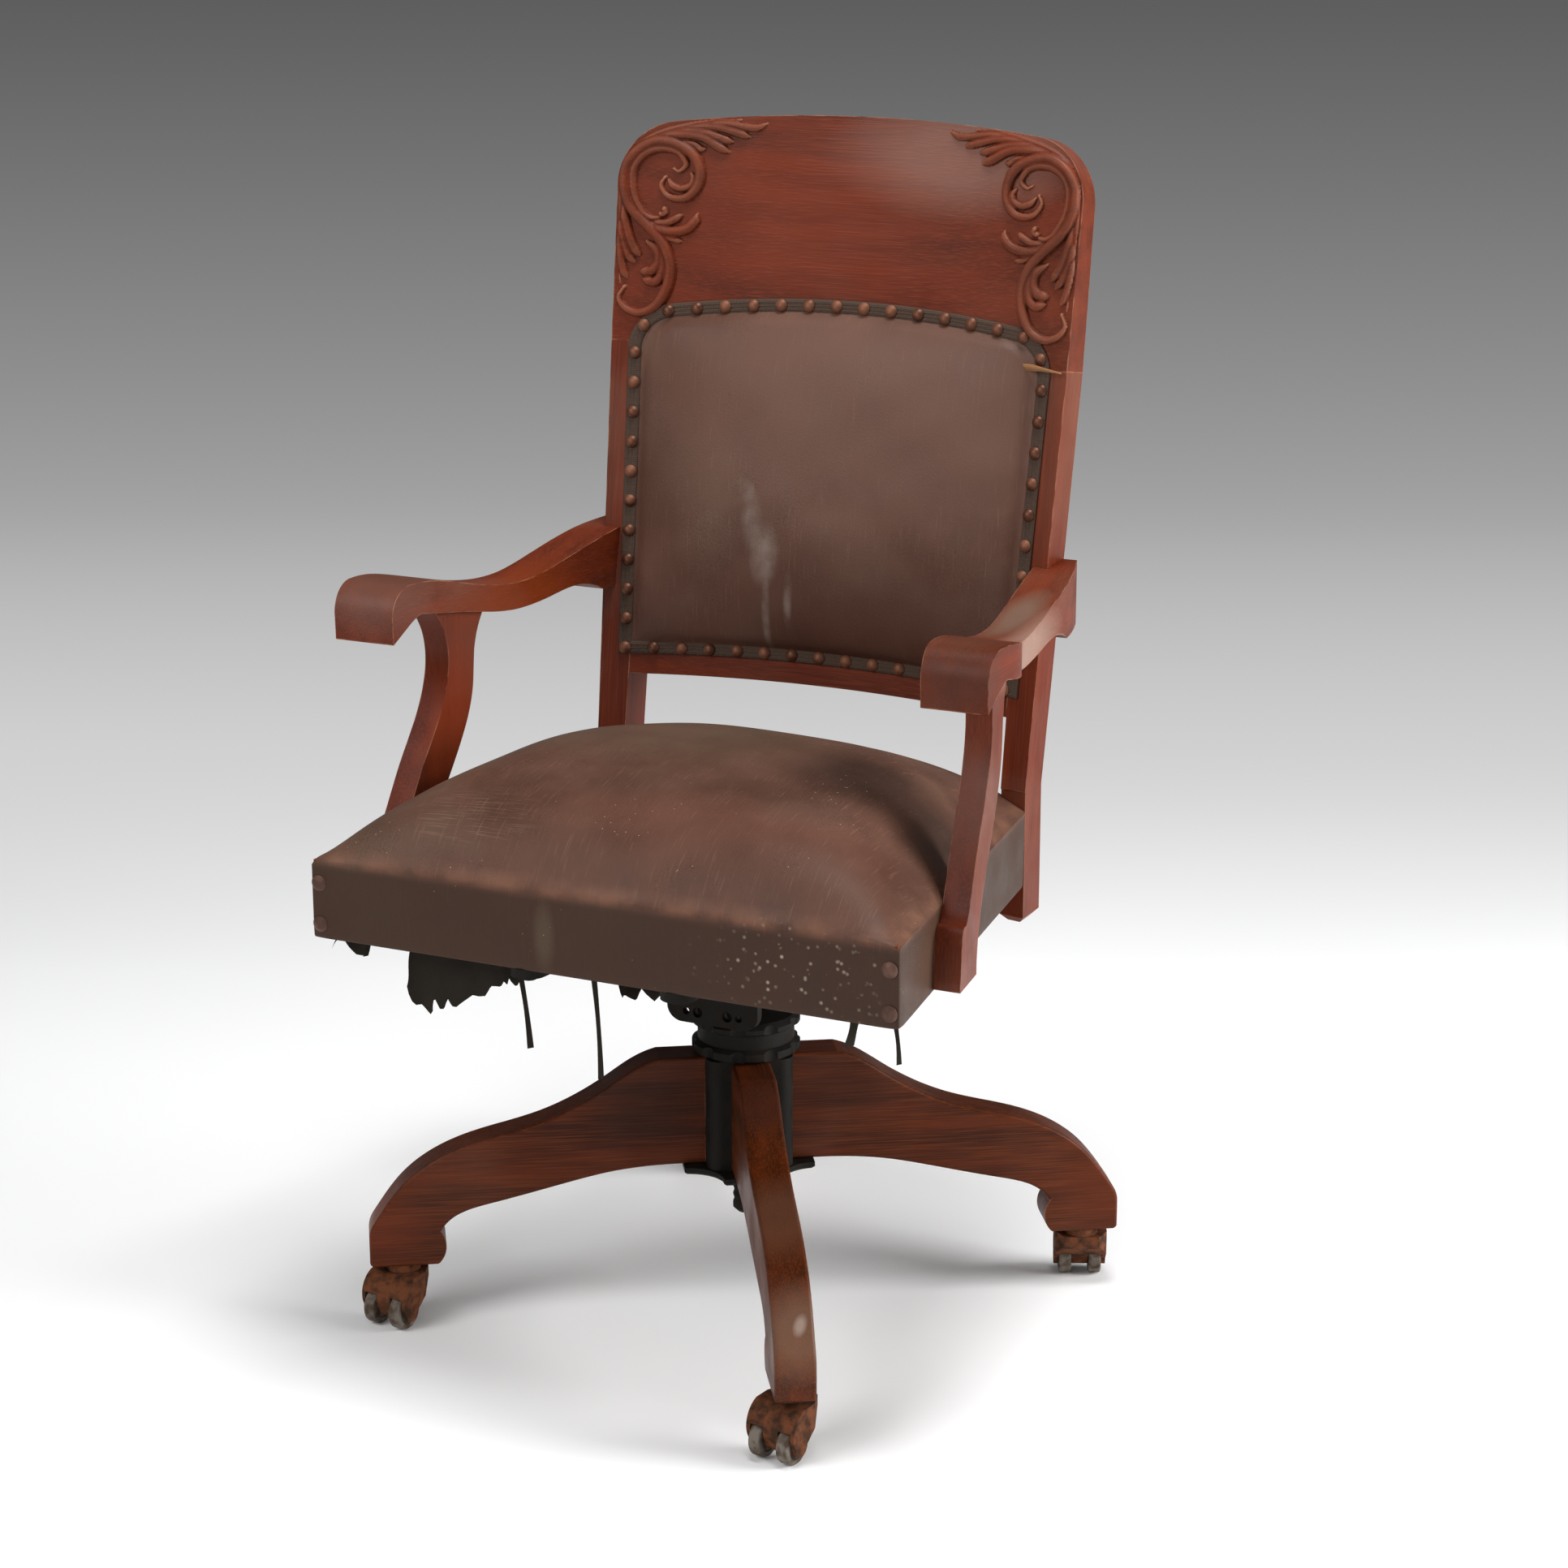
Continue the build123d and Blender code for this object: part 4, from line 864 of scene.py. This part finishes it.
@dataclass
class BackPad:
    """Crowned leather pad inside the braid, drawn down all round."""

    crown: float = 26.0
    leather: float = 1.2
    braid_half: float = 6.0
    middle: float = 232.0

    def build(self, line: NailLine, material: Material) -> Piece:
        """Makes the pad as one closed skin.

        Args:
            line: The nail outline.
            material: Its leather.

        Returns:
            The pad.
        """
        rim = line.closed(self.braid_half - 0.4)
        middle = np.array([0.0, self.middle])
        verts, faces = [], []
        count = len(rim)
        for k, share in enumerate(PAD_ROWS):
            flat = middle + (rim - middle) * share
            verts.append(BACK.points(flat[:, 0], flat[:, 1], self._height(share, flat)))
            if k:
                faces += ring_faces(range(k * count, (k + 1) * count), range((k - 1) * count, k * count))
        hub = len(PAD_ROWS) * count
        verts.append(BACK.points(*(np.array([v]) for v in (*middle, self.leather + self.crown))))
        faces += [(hub - count + k, hub - count + (k + 1) % count, hub) for k in range(count)]
        above = range(count)
        for k, share in enumerate(PAD_REAR_ROWS):
            flat = middle + (rim - middle) * share
            verts.append(BACK.points(flat[:, 0], flat[:, 1], np.full(count, 0.05)))
            row = range(hub + 1 + k * count, hub + 1 + (k + 1) * count)
            faces += ring_faces(above, row)
            above = row
        faces.append(tuple(above))
        pad = mesh_piece("back_leather", np.vstack(verts), faces, material)
        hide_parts("back_pad")
        return pad

    def _height(self, share: float, flat: Array) -> Array:
        """Height of the pad above the bowed frame.

        Args:
            share: Place between the middle at 0 and the rim at 1.
            flat: Points in the raked plane.

        Returns:
            Heights.
        """
        x, y = flat.T
        # A swell that is flat in the middle and steep at the sides, with two crossing sets of ripples
        across = np.abs(x) / np.interp(y, [75, 345], [184, 192])
        up = np.abs(y - 234) / 154
        swell = (1 - across.clip(0, 1) ** 3.4) ** 0.8 * (1 - up.clip(0, 1) ** 4.5) ** 0.8
        fade = min(1.0, max(0.0, 0.935 - share) / 0.06)
        ripple = 0.25 * np.sin(x / 21 + y / 13) + 0.2 * np.sin(y / 9 - x / 17)
        return self.leather + (self.crown * swell + ripple) * fade * (2 - fade)


@dataclass
class Braid:
    """Flat upholstery braid with a corded edge on both sides."""

    width: float = 12.0
    rise: float = 1.2
    thickness: float = 1.8

    def build(self, line: NailLine, material: Material) -> Piece:
        """Makes the braid as a closed strip round the pad.

        Args:
            line: The nail outline.
            material: Its cloth.

        Returns:
            The braid.
        """
        places = np.linspace(-1, 1, 13)
        lift = 0.75 + 0.25 * np.cos(places * math.pi * 4)
        lift[0] = lift[-1] = 0.1
        columns = [line.closed(place * self.width / 2) for place in places]
        centre = columns[len(columns) // 2]
        count = len(centre)
        run = np.cumsum(np.linalg.norm(np.diff(centre, axis=0, append=centre[:1]), axis=1))
        verts = []
        for place, flat, rise in zip(places, columns, lift):
            twist = 0.12 * np.sin(run / 1.1 + place * 3)
            verts.append(BACK.points(flat[:, 0], flat[:, 1], self.rise + self.thickness * rise + twist))
        for flat in (columns[-1], columns[0]):
            verts.append(BACK.points(flat[:, 0], flat[:, 1], np.full(count, self.rise)))
        faces = []
        order = [range(k * count, (k + 1) * count) for k in (*range(len(verts)), 0)]
        for low, high in zip(order, order[1:]):
            faces += ring_faces(high, low)
        braid = mesh_piece("nailed_braid", np.vstack(verts), faces, material)
        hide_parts("back_braid")
        return braid


@dataclass
class Stroke:
    """One carved rib or leaf vein: points it passes, its half width and height at the fullest place."""

    points: Points
    width: float
    height: float
    full_at: float = 0.5


# Ribs of the right-hand scroll, across and up the back, with the bead along the crest's edge as the last
ACANTHUS = (
    Stroke([
        (209, 396), (213, 386), (206, 377), (193, 374), (179, 381), (170, 397), (168, 415), (173, 431),
        (181, 442), (192, 452), (203, 462), (210, 473), (213, 485), (213, 499), (208, 510), (199, 519),
        (186, 525), (171, 524), (157, 518), (149, 509), (146, 498), (148, 487), (156, 478), (167, 476),
        (176, 479), (181, 487), (178, 494),
    ], 5.0, 5.4),
    Stroke([
        (176, 464), (183, 458), (192, 459), (198, 465), (204, 476), (207, 489), (206, 501), (199, 512),
        (188, 518), (176, 519), (166, 516), (160, 508), (161, 503), (166, 500), (171, 502),
    ], 3.6, 4.0),
    Stroke([(175, 492), (170, 487), (162, 485), (154, 488), (152, 494), (155, 499)], 3.4, 3.4),
    Stroke([(185, 530), (158, 532), (144, 530), (131, 523), (121, 519)], 4.4, 4.2, 0.7),
    Stroke([(174, 534), (148, 535), (135, 532), (124, 529), (118, 528)], 4.0, 3.6, 0.7),
    Stroke([(162, 538), (135, 540), (119, 537), (103, 533)], 3.8, 3.2, 0.7),
    Stroke([(148, 541), (125, 543), (107, 541), (96, 541), (88, 545)], 3.4, 2.8, 0.6),
    Stroke([(168, 525), (154, 524), (147, 520), (143, 521)], 3.2, 3.0),
    Stroke([(161, 522), (152, 516), (144, 510)], 2.6, 2.4),
    Stroke([(192, 455), (180, 448), (167, 447), (155, 450), (148, 457), (147, 463)], 4.6, 4.4, 0.65),
    Stroke([(187, 454), (175, 454), (166, 458), (161, 462)], 3.6, 3.6, 0.6),
    Stroke([(181, 461), (176, 463), (177, 468)], 3.0, 3.4),
    Stroke([(179, 444), (168, 440), (159, 439)], 2.8, 2.4),
    Stroke([(214, 469), (211, 453), (205, 436), (197, 424)], 4.2, 4.0, 0.7),
    Stroke([(215, 460), (213, 441), (207, 425), (201, 418)], 4.0, 3.4, 0.7),
    Stroke([(215, 450), (214, 428), (211, 412), (207, 404)], 3.6, 3.0, 0.7),
    Stroke([(191, 437), (181, 430), (179, 420), (184, 412), (194, 410)], 4.6, 4.0, 0.7),
    Stroke([(182, 433), (175, 421), (176, 408), (182, 402), (192, 404)], 4.4, 3.8, 0.7),
    Stroke([
        (213.5, 400), (215, 440), (216.3, 488), (212, 508), (203.5, 520), (190, 530), (170, 537.5),
        (140, 544), (112, 547),
    ], 2.6, 1.6),
)


@dataclass
class Carving:
    """Relief of acanthus scrolls on the corners of the crest rail, mirrored, with a bead along the edge."""

    step: float = 0.8
    sink: float = 0.25
    relief: float = 1.2
    foot: float = 0.5
    across: tuple[float, float] = (84.0, 219.5)
    up: tuple[float, float] = (366.0, 552.0)

    def build(self, material: Material) -> list[Piece]:
        """Makes both carved corners.

        Args:
            material: The carved oak.

        Returns:
            The two reliefs.
        """
        a, b = np.meshgrid(np.arange(*self.across, self.step), np.arange(*self.up, self.step))
        height = np.zeros_like(a)
        for stroke in ACANTHUS:
            height = np.maximum(height, self.relief * self._rib(stroke, a, b))
        height += self.foot * (height > 0.3)
        pieces = []
        for name, sign in (("carving_right", 1.0), ("carving_left", -1.0)):
            verts, faces = self._surface(a * sign, b, height, sign > 0)
            carving = mesh_piece(name, verts, faces, material)
            pieces.append(carving)
        return pieces

    @staticmethod
    def _rib(stroke: Stroke, a: Array, b: Array) -> Array:
        """Height of one round rib over the grid.

        Args:
            stroke: The rib.
            a: Places across.
            b: Places up.

        Returns:
            Heights, zero away from the rib.
        """
        line = smooth_line(stroke.points, 1.0)
        share = np.linspace(0, 1, len(line))
        rise = np.where(share < stroke.full_at, share / stroke.full_at, (1 - share) / (1 - stroke.full_at))
        taper = 0.35 + 0.65 * np.sin(np.clip(rise * 2.2, 0, 1) * math.pi / 2)
        best = np.zeros_like(a)
        low, high = line.min(0) - stroke.width, line.max(0) + stroke.width
        near = (a > low[0]) & (a < high[0]) & (b > low[1]) & (b < high[1])
        spots = np.stack([a[near], b[near]], axis=1)
        top = np.zeros(len(spots))
        for point, size in zip(line, taper):
            reach = 1 - ((spots - point) ** 2).sum(1) / (stroke.width * size) ** 2
            top = np.maximum(top, stroke.height * size * np.sqrt(np.clip(reach, 0, 1)))
        best[near] = top
        return best

    def _surface(self, a: Array, b: Array, height: Array, flip: bool) -> tuple[Array, list]:
        """Grid surface of the relief, kept only where it stands out.

        Args:
            a: Places across.
            b: Places up.
            height: Heights of the relief.
            flip: Whether the faces look the other way.

        Returns:
            Points and faces.
        """
        rows, columns = a.shape
        verts = BACK.points(a, b, height - self.sink)
        shown = height > 0.02
        keep = shown[:-1, :-1] | shown[1:, :-1] | shown[:-1, 1:] | shown[1:, 1:]
        faces = [f for f, k in zip(grid_faces(rows, columns, 0, not flip), keep.ravel()) if k]
        used = np.unique(np.array(faces))
        renumber = np.full(len(verts), -1)
        renumber[used] = np.arange(len(used))
        return verts[used], renumber[np.array(faces)].tolist()


# Lower outline of each ragged flap, from its left end to its right end
RAGS = (
    ((-186, 345), (-181, 324), (-170, 322), (-158, 330), (-140, 330), (-118, 344), (-100, 352), (-84, 358),
     (-72, 366), (-60, 372)),
    ((4, 373), (12, 364), (40, 367), (60, 362), (74, 372)),
    ((-256, 364), (-244, 371), (-230, 362), (-218, 372)),
)
# Top, foot and width of each hanging strip
STRIPS = (
    ((-86, 377), (-76, 300), 6.0), ((-16, 377), (-11, 284), 5.5), ((-226, 377), (-232, 356), 5.0),
    ((216, 377), (209, 346), 10.0), ((248, 377), (252, 338), 5.0),
)


@dataclass
class TornCloth:
    """What is left of the black lining under the seat: ragged flaps and hanging strips."""

    y: float = -240.0
    top: float = 376.2
    step: float = 2.0
    tear: float = 5.0
    rows: int = 24
    flat_width: float = 0.12
    filled: float = 0.8

    def build(self, material: Material) -> Piece:
        """Makes the rags as one thin sheet.

        Args:
            material: Its cloth.

        Returns:
            The sheet.
        """
        rng = np.random.default_rng(11)
        verts: list = []
        faces: list = []
        self._flap(verts, faces, rng)
        for top, foot, width in STRIPS:
            self._strip(verts, faces, np.array(top, float), np.array(foot, float), width)
        rags = mesh_piece("torn_lining", np.array(verts), faces, material)
        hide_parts("dust_cover")
        return rags

    def _flap(self, verts: list, faces: list, rng: np.random.Generator) -> None:
        """Adds the ragged flaps.

        Args:
            verts: Points so far.
            faces: Faces so far.
            rng: Seeded random numbers for the ragged edge.
        """
        for foot in RAGS:
            left, right = foot[0][0], foot[-1][0]
            xs = np.arange(left, right + 0.1, self.step)
            tears = rng.uniform(-7.0, 5.0, int((right - left) / self.tear) + 2)
            torn = np.interp(xs, left + self.tear * np.arange(len(tears)), tears)
            outline = np.interp(xs, *zip(*foot)) + torn
            outline = np.minimum(outline, self.top - 3)
            start = len(verts)
            for t in np.linspace(0, 1, self.rows):
                for x, low in zip(xs, outline):
                    z = self.top + (low - self.top) * t
                    sway = 4.5 * math.sin(x / 9.0 + 1.5 * t) * t + 1.5 * math.sin(x / 4.1) * t
                    verts.append((x + 1.5 * math.sin(z / 6.0) * t, self.y + sway - 6 * t, z))
            faces += grid_faces(self.rows, len(xs), start)

    def _strip(self, verts: list, faces: list, top: Array, foot: Array, width: float) -> None:
        """Adds one twisted hanging strip.

        Args:
            verts: Points so far.
            faces: Faces so far.
            top: Its top, across and up.
            foot: Its end, across and up.
            width: Its width.
        """
        start = len(verts)
        rows = 16
        for i in range(rows):
            t = i / (rows - 1)
            x, z = top + (foot - top) * t
            turn = 0.2 + 0.8 * t
            half = width / 2 * (1 - 0.35 * math.sin(t * math.pi))
            bend = 3.0 * math.sin(t * 2.6)
            for reach in (-half, half):
                verts.append((x + reach * math.cos(turn), self.y + bend + reach * math.sin(turn), z))
        faces += grid_faces(rows, 2, start)


@dataclass
class LooseStrip:
    """Curled end of dried braid that sticks out at the right crest joint."""

    start: float = 214.0
    up: float = 347.5
    length: float = 48.0
    width: float = 6.0
    thickness: float = 0.9

    def build(self, material: Material) -> Piece:
        """Makes the strip as a thin curled band.

        Args:
            material: Its finish.

        Returns:
            The strip.
        """
        rows, verts = 26, []
        for i in range(rows):
            t = i / (rows - 1)
            across = self.start - self.length * t
            lift = 3.6 + 9.0 * math.sin(math.pi * min(1.0, 1.25 * t)) * (1 - 0.45 * t)
            half = self.width / 2 * (0.25 + 0.75 * math.sin(math.pi * t ** 1.6))
            for side, thick in ((-1, 0), (1, 0), (1, 1), (-1, 1)):
                up = self.up + side * half + 3.0 * math.sin(2.4 * t)
                height = lift + thick * self.thickness + side * 1.2 * t
                verts.append(BACK.points(*np.array([[across], [up], [height]]))[0])
        faces = [(0, 1, 2, 3), tuple(4 * (rows - 1) + k for k in (3, 2, 1, 0))]
        for i in range(rows - 1):
            for k in range(4):
                faces.append((4 * i + k, 4 * i + 4 + k, 4 * i + 4 + (k + 1) % 4, 4 * i + (k + 1) % 4))
        strip = mesh_piece("loose_strip", np.array(verts), faces, material)
        return strip


class TiltSprings:
    """The two springs of the tilting head."""

    def build(self, material: Material) -> None:
        """Makes each spring with its foot on the head and its top on the seat.

        Args:
            material: Its steel.
        """
        for name in ("tilt_spring_left", "tilt_spring_right"):
            node = frame["nodes"][name]
            mesh = node.data.copy()
            mesh.transform(node.matrix_world)
            mesh.materials.clear()
            mesh.materials.append(material)
            spring = new_object(f"bending_{name}", mesh)
            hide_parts(name)
            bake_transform(spring)
            LOG.info("piece %s between head and seat", spring.name)


# Name, place, aim, width in metres and power in watts of each lamp
LAMPS = (
    ("key", (-1.3, -2.4, 2.4), (0, 0, 0.5), 1.6, 52.0),
    ("top", (0.3, -0.1, 3.0), (0.05, 0, 0), 1.0, 54.0),
    ("edge", (2.3, 0.6, 1.0), (0.1, 0.1, 0.6), 1.2, 74.0),
    ("fill", (0.4, -3.0, 0.7), (0, 0, 0.4), 2.0, 18.0),
)


@dataclass
class Studio:
    """Pale floor with a grey sweep behind, soft lights and the photograph's camera."""

    camera_at: Spot = (1.2804, -2.5440, 1.2637)
    azimuth: float = 25.55
    elevation: float = 15.54
    roll: float = -0.10
    lens: float = 79.81
    shift: tuple[float, float] = (-0.0197, 0.0005)
    floor_from: float = -6.0
    floor_to: float = 3.5
    bend: float = 0.9
    height: float = 6.0
    half_width: float = 7.0
    sky: float = 0.27

    def build(self) -> None:
        """Adds floor, lights and camera."""
        self._floor()
        self._lights()
        self._camera()

    def _floor(self) -> None:
        """Adds the floor and the sweep that rises behind it, darker towards its top."""
        a = math.radians(self.azimuth)
        away = np.array([-math.sin(a), math.cos(a)])
        right = np.array([math.cos(a), math.sin(a)])
        runs = [(self.floor_from, 0.0), (self.floor_to, 0.0)]
        for t in np.linspace(0.08, math.pi / 2, 24):
            runs.append((self.floor_to + self.bend * math.sin(t), self.bend * (1 - math.cos(t))))
        runs.append((self.floor_to + self.bend, self.height))
        verts = []
        for run, z in runs:
            for side in (-self.half_width, self.half_width):
                verts.append((*(away * run + right * side), z))
        p = Paint("studio_sweep")
        run = p.add("VectorMath", {0: p.place, 1: (*away, 1.0)}, out="Value", operation="DOT_PRODUCT")
        # From 0.9 m to 1.9 m behind the chair the floor that takes shadows turns into a glowing backdrop
        far = p.add("MapRange", {0: run, 1: 0.9, 2: 1.9})
        depth = p.add("MapRange", {0: run, 1: 1.3, 2: 5.3})
        seen = p.add("LightPath", out="Is Camera Ray")
        for ray in ("Is Glossy Ray", "Is Transmission Ray"):
            seen = p.add("Math", {0: seen, 1: p.add("LightPath", out=ray)}, operation="MAXIMUM")
        paper = p.close(
            far, 0.01, 0.01, Base_Color=p.coats(linear("F6F6F6"), (far, "000000")), Roughness=0.9,
            Specular_IOR_Level=0.0, Emission_Color=p.coats(linear("DDDDDD"), (depth, "5E5E5E")),
            Emission_Strength=p.add("Math", {0: far, 1: seen}, operation="MULTIPLY"),
        )
        floor = new_object("floor", new_mesh("floor", verts, grid_faces(len(runs), 2), paper))

    def _lights(self) -> None:
        """Adds a broad key from the front left, a top, an edge and a fill light, and a grey sky."""
        world = bpy.data.worlds.new("studio")
        world.use_nodes = True
        glow = world.node_tree.nodes["Background"].inputs
        glow["Color"].default_value = linear("D8DADC")
        glow["Strength"].default_value = self.sky
        bpy.context.scene.world = world
        for name, spot, aim, size, power in LAMPS:
            lamp = bpy.data.lights.new(name, "AREA")
            lamp.size = size
            lamp.energy = power
            light = new_object(name, lamp)
            light.location = spot
            light.rotation_euler = (Vector(aim) - Vector(spot)).to_track_quat("-Z", "Y").to_euler()

    def _camera(self) -> None:
        """Adds the camera at the place found from the photograph."""
        data = bpy.data.cameras.new("camera")
        data.lens = self.lens
        data.sensor_width = 36.0
        data.shift_x, data.shift_y = self.shift
        camera = new_object("camera", data)
        camera.location = self.camera_at
        camera.rotation_euler = (
            math.radians(90 - self.elevation), math.radians(self.roll), math.radians(self.azimuth)
        )
        bpy.context.scene.camera = camera


# Grain direction by how a node's name starts. The rest of the oak runs across.
GRAINS = (
    ("leg_right", Grain.LEG_RIGHT), ("leg_left", Grain.LEG_RIGHT), ("leg_back", Grain.LEG_BACK),
    ("leg_front", Grain.LEG_BACK), ("post", Grain.RAKED), ("arm_support", Grain.UP), ("arm", Grain.DEPTH),
    ("seat_left_rail", Grain.DEPTH), ("seat_right_rail", Grain.DEPTH),
)
# Oak that the pieces of each grain direction are made from
OAKS = {
    Grain.ACROSS: CREST_OAK, Grain.DEPTH: ARM_OAK, Grain.UP: ARM_OAK, Grain.RAKED: OAK,
    Grain.LEG_RIGHT: LEG_OAK, Grain.LEG_BACK: LEG_OAK,
}


class Chair:
    """All the finishes and made pieces of the chair on its CAD frame."""

    def __init__(self) -> None:
        """Builds the finishes that several pieces share."""
        self.oak = {grain: oak.make(f"oak_{grain.name.lower()}", grain) for grain, oak in OAKS.items()}
        self.finishes = {
            "black_iron": BLACK_IRON.make("black_iron"), "rusty_iron": RUST.make("rusty_iron"),
            "wheel_iron": WHEEL_IRON.make("wheel_iron"), "brass": BRASS.make("brass"),
            "spring_steel": STEEL.make("spring_steel"), "webbing": JUTE.make("jute"),
            "leather": PLAIN_LEATHER.make("plain_leather"),
        }
        self.studs = TARNISHED.make("tarnished_copper")

    def dress(self) -> None:
        """Gives each CAD node that stays visible its finish."""
        slots = {s["node"]: s["material_slot"] for s in frame["record"]["subparts"]}
        for name, node in frame["nodes"].items():
            slot = slots[name]
            grain = next((g for start, g in GRAINS if name.startswith(start)), Grain.ACROSS)
            material = self.oak[grain] if slot == "oak" else self.finishes.get(slot)
            if name == "seat_studs":
                material = self.studs
            if material is None:
                continue
            node.data.materials.clear()
            node.data.materials.append(material)
            LOG.info("node %s in %s", name, material.name)

    def build(self) -> None:
        """Adds the pieces that Blender makes."""
        line = NailLine()
        SeatCushion().build(SEAT_LEATHER.make("seat_leather"))
        BackPad().build(line, BACK_LEATHER.make("back_leather"))
        Braid().build(line, BRAID.make("braid"))
        Carving().build(CARVED_OAK.make("carved_oak", Grain.ACROSS))
        LooseStrip().build(DRIED_BRAID.make("dried_braid"))
        TornCloth().build(CAMBRIC.make("black_cambric"))
        TiltSprings().build(self.finishes["spring_steel"])


def main() -> None:
    """Builds the chair and its studio."""
    chair = Chair()
    chair.dress()
    chair.build()
    Studio().build()
    bpy.context.scene.view_settings.view_transform = "Standard"


if __name__ == "__main__":
    main()
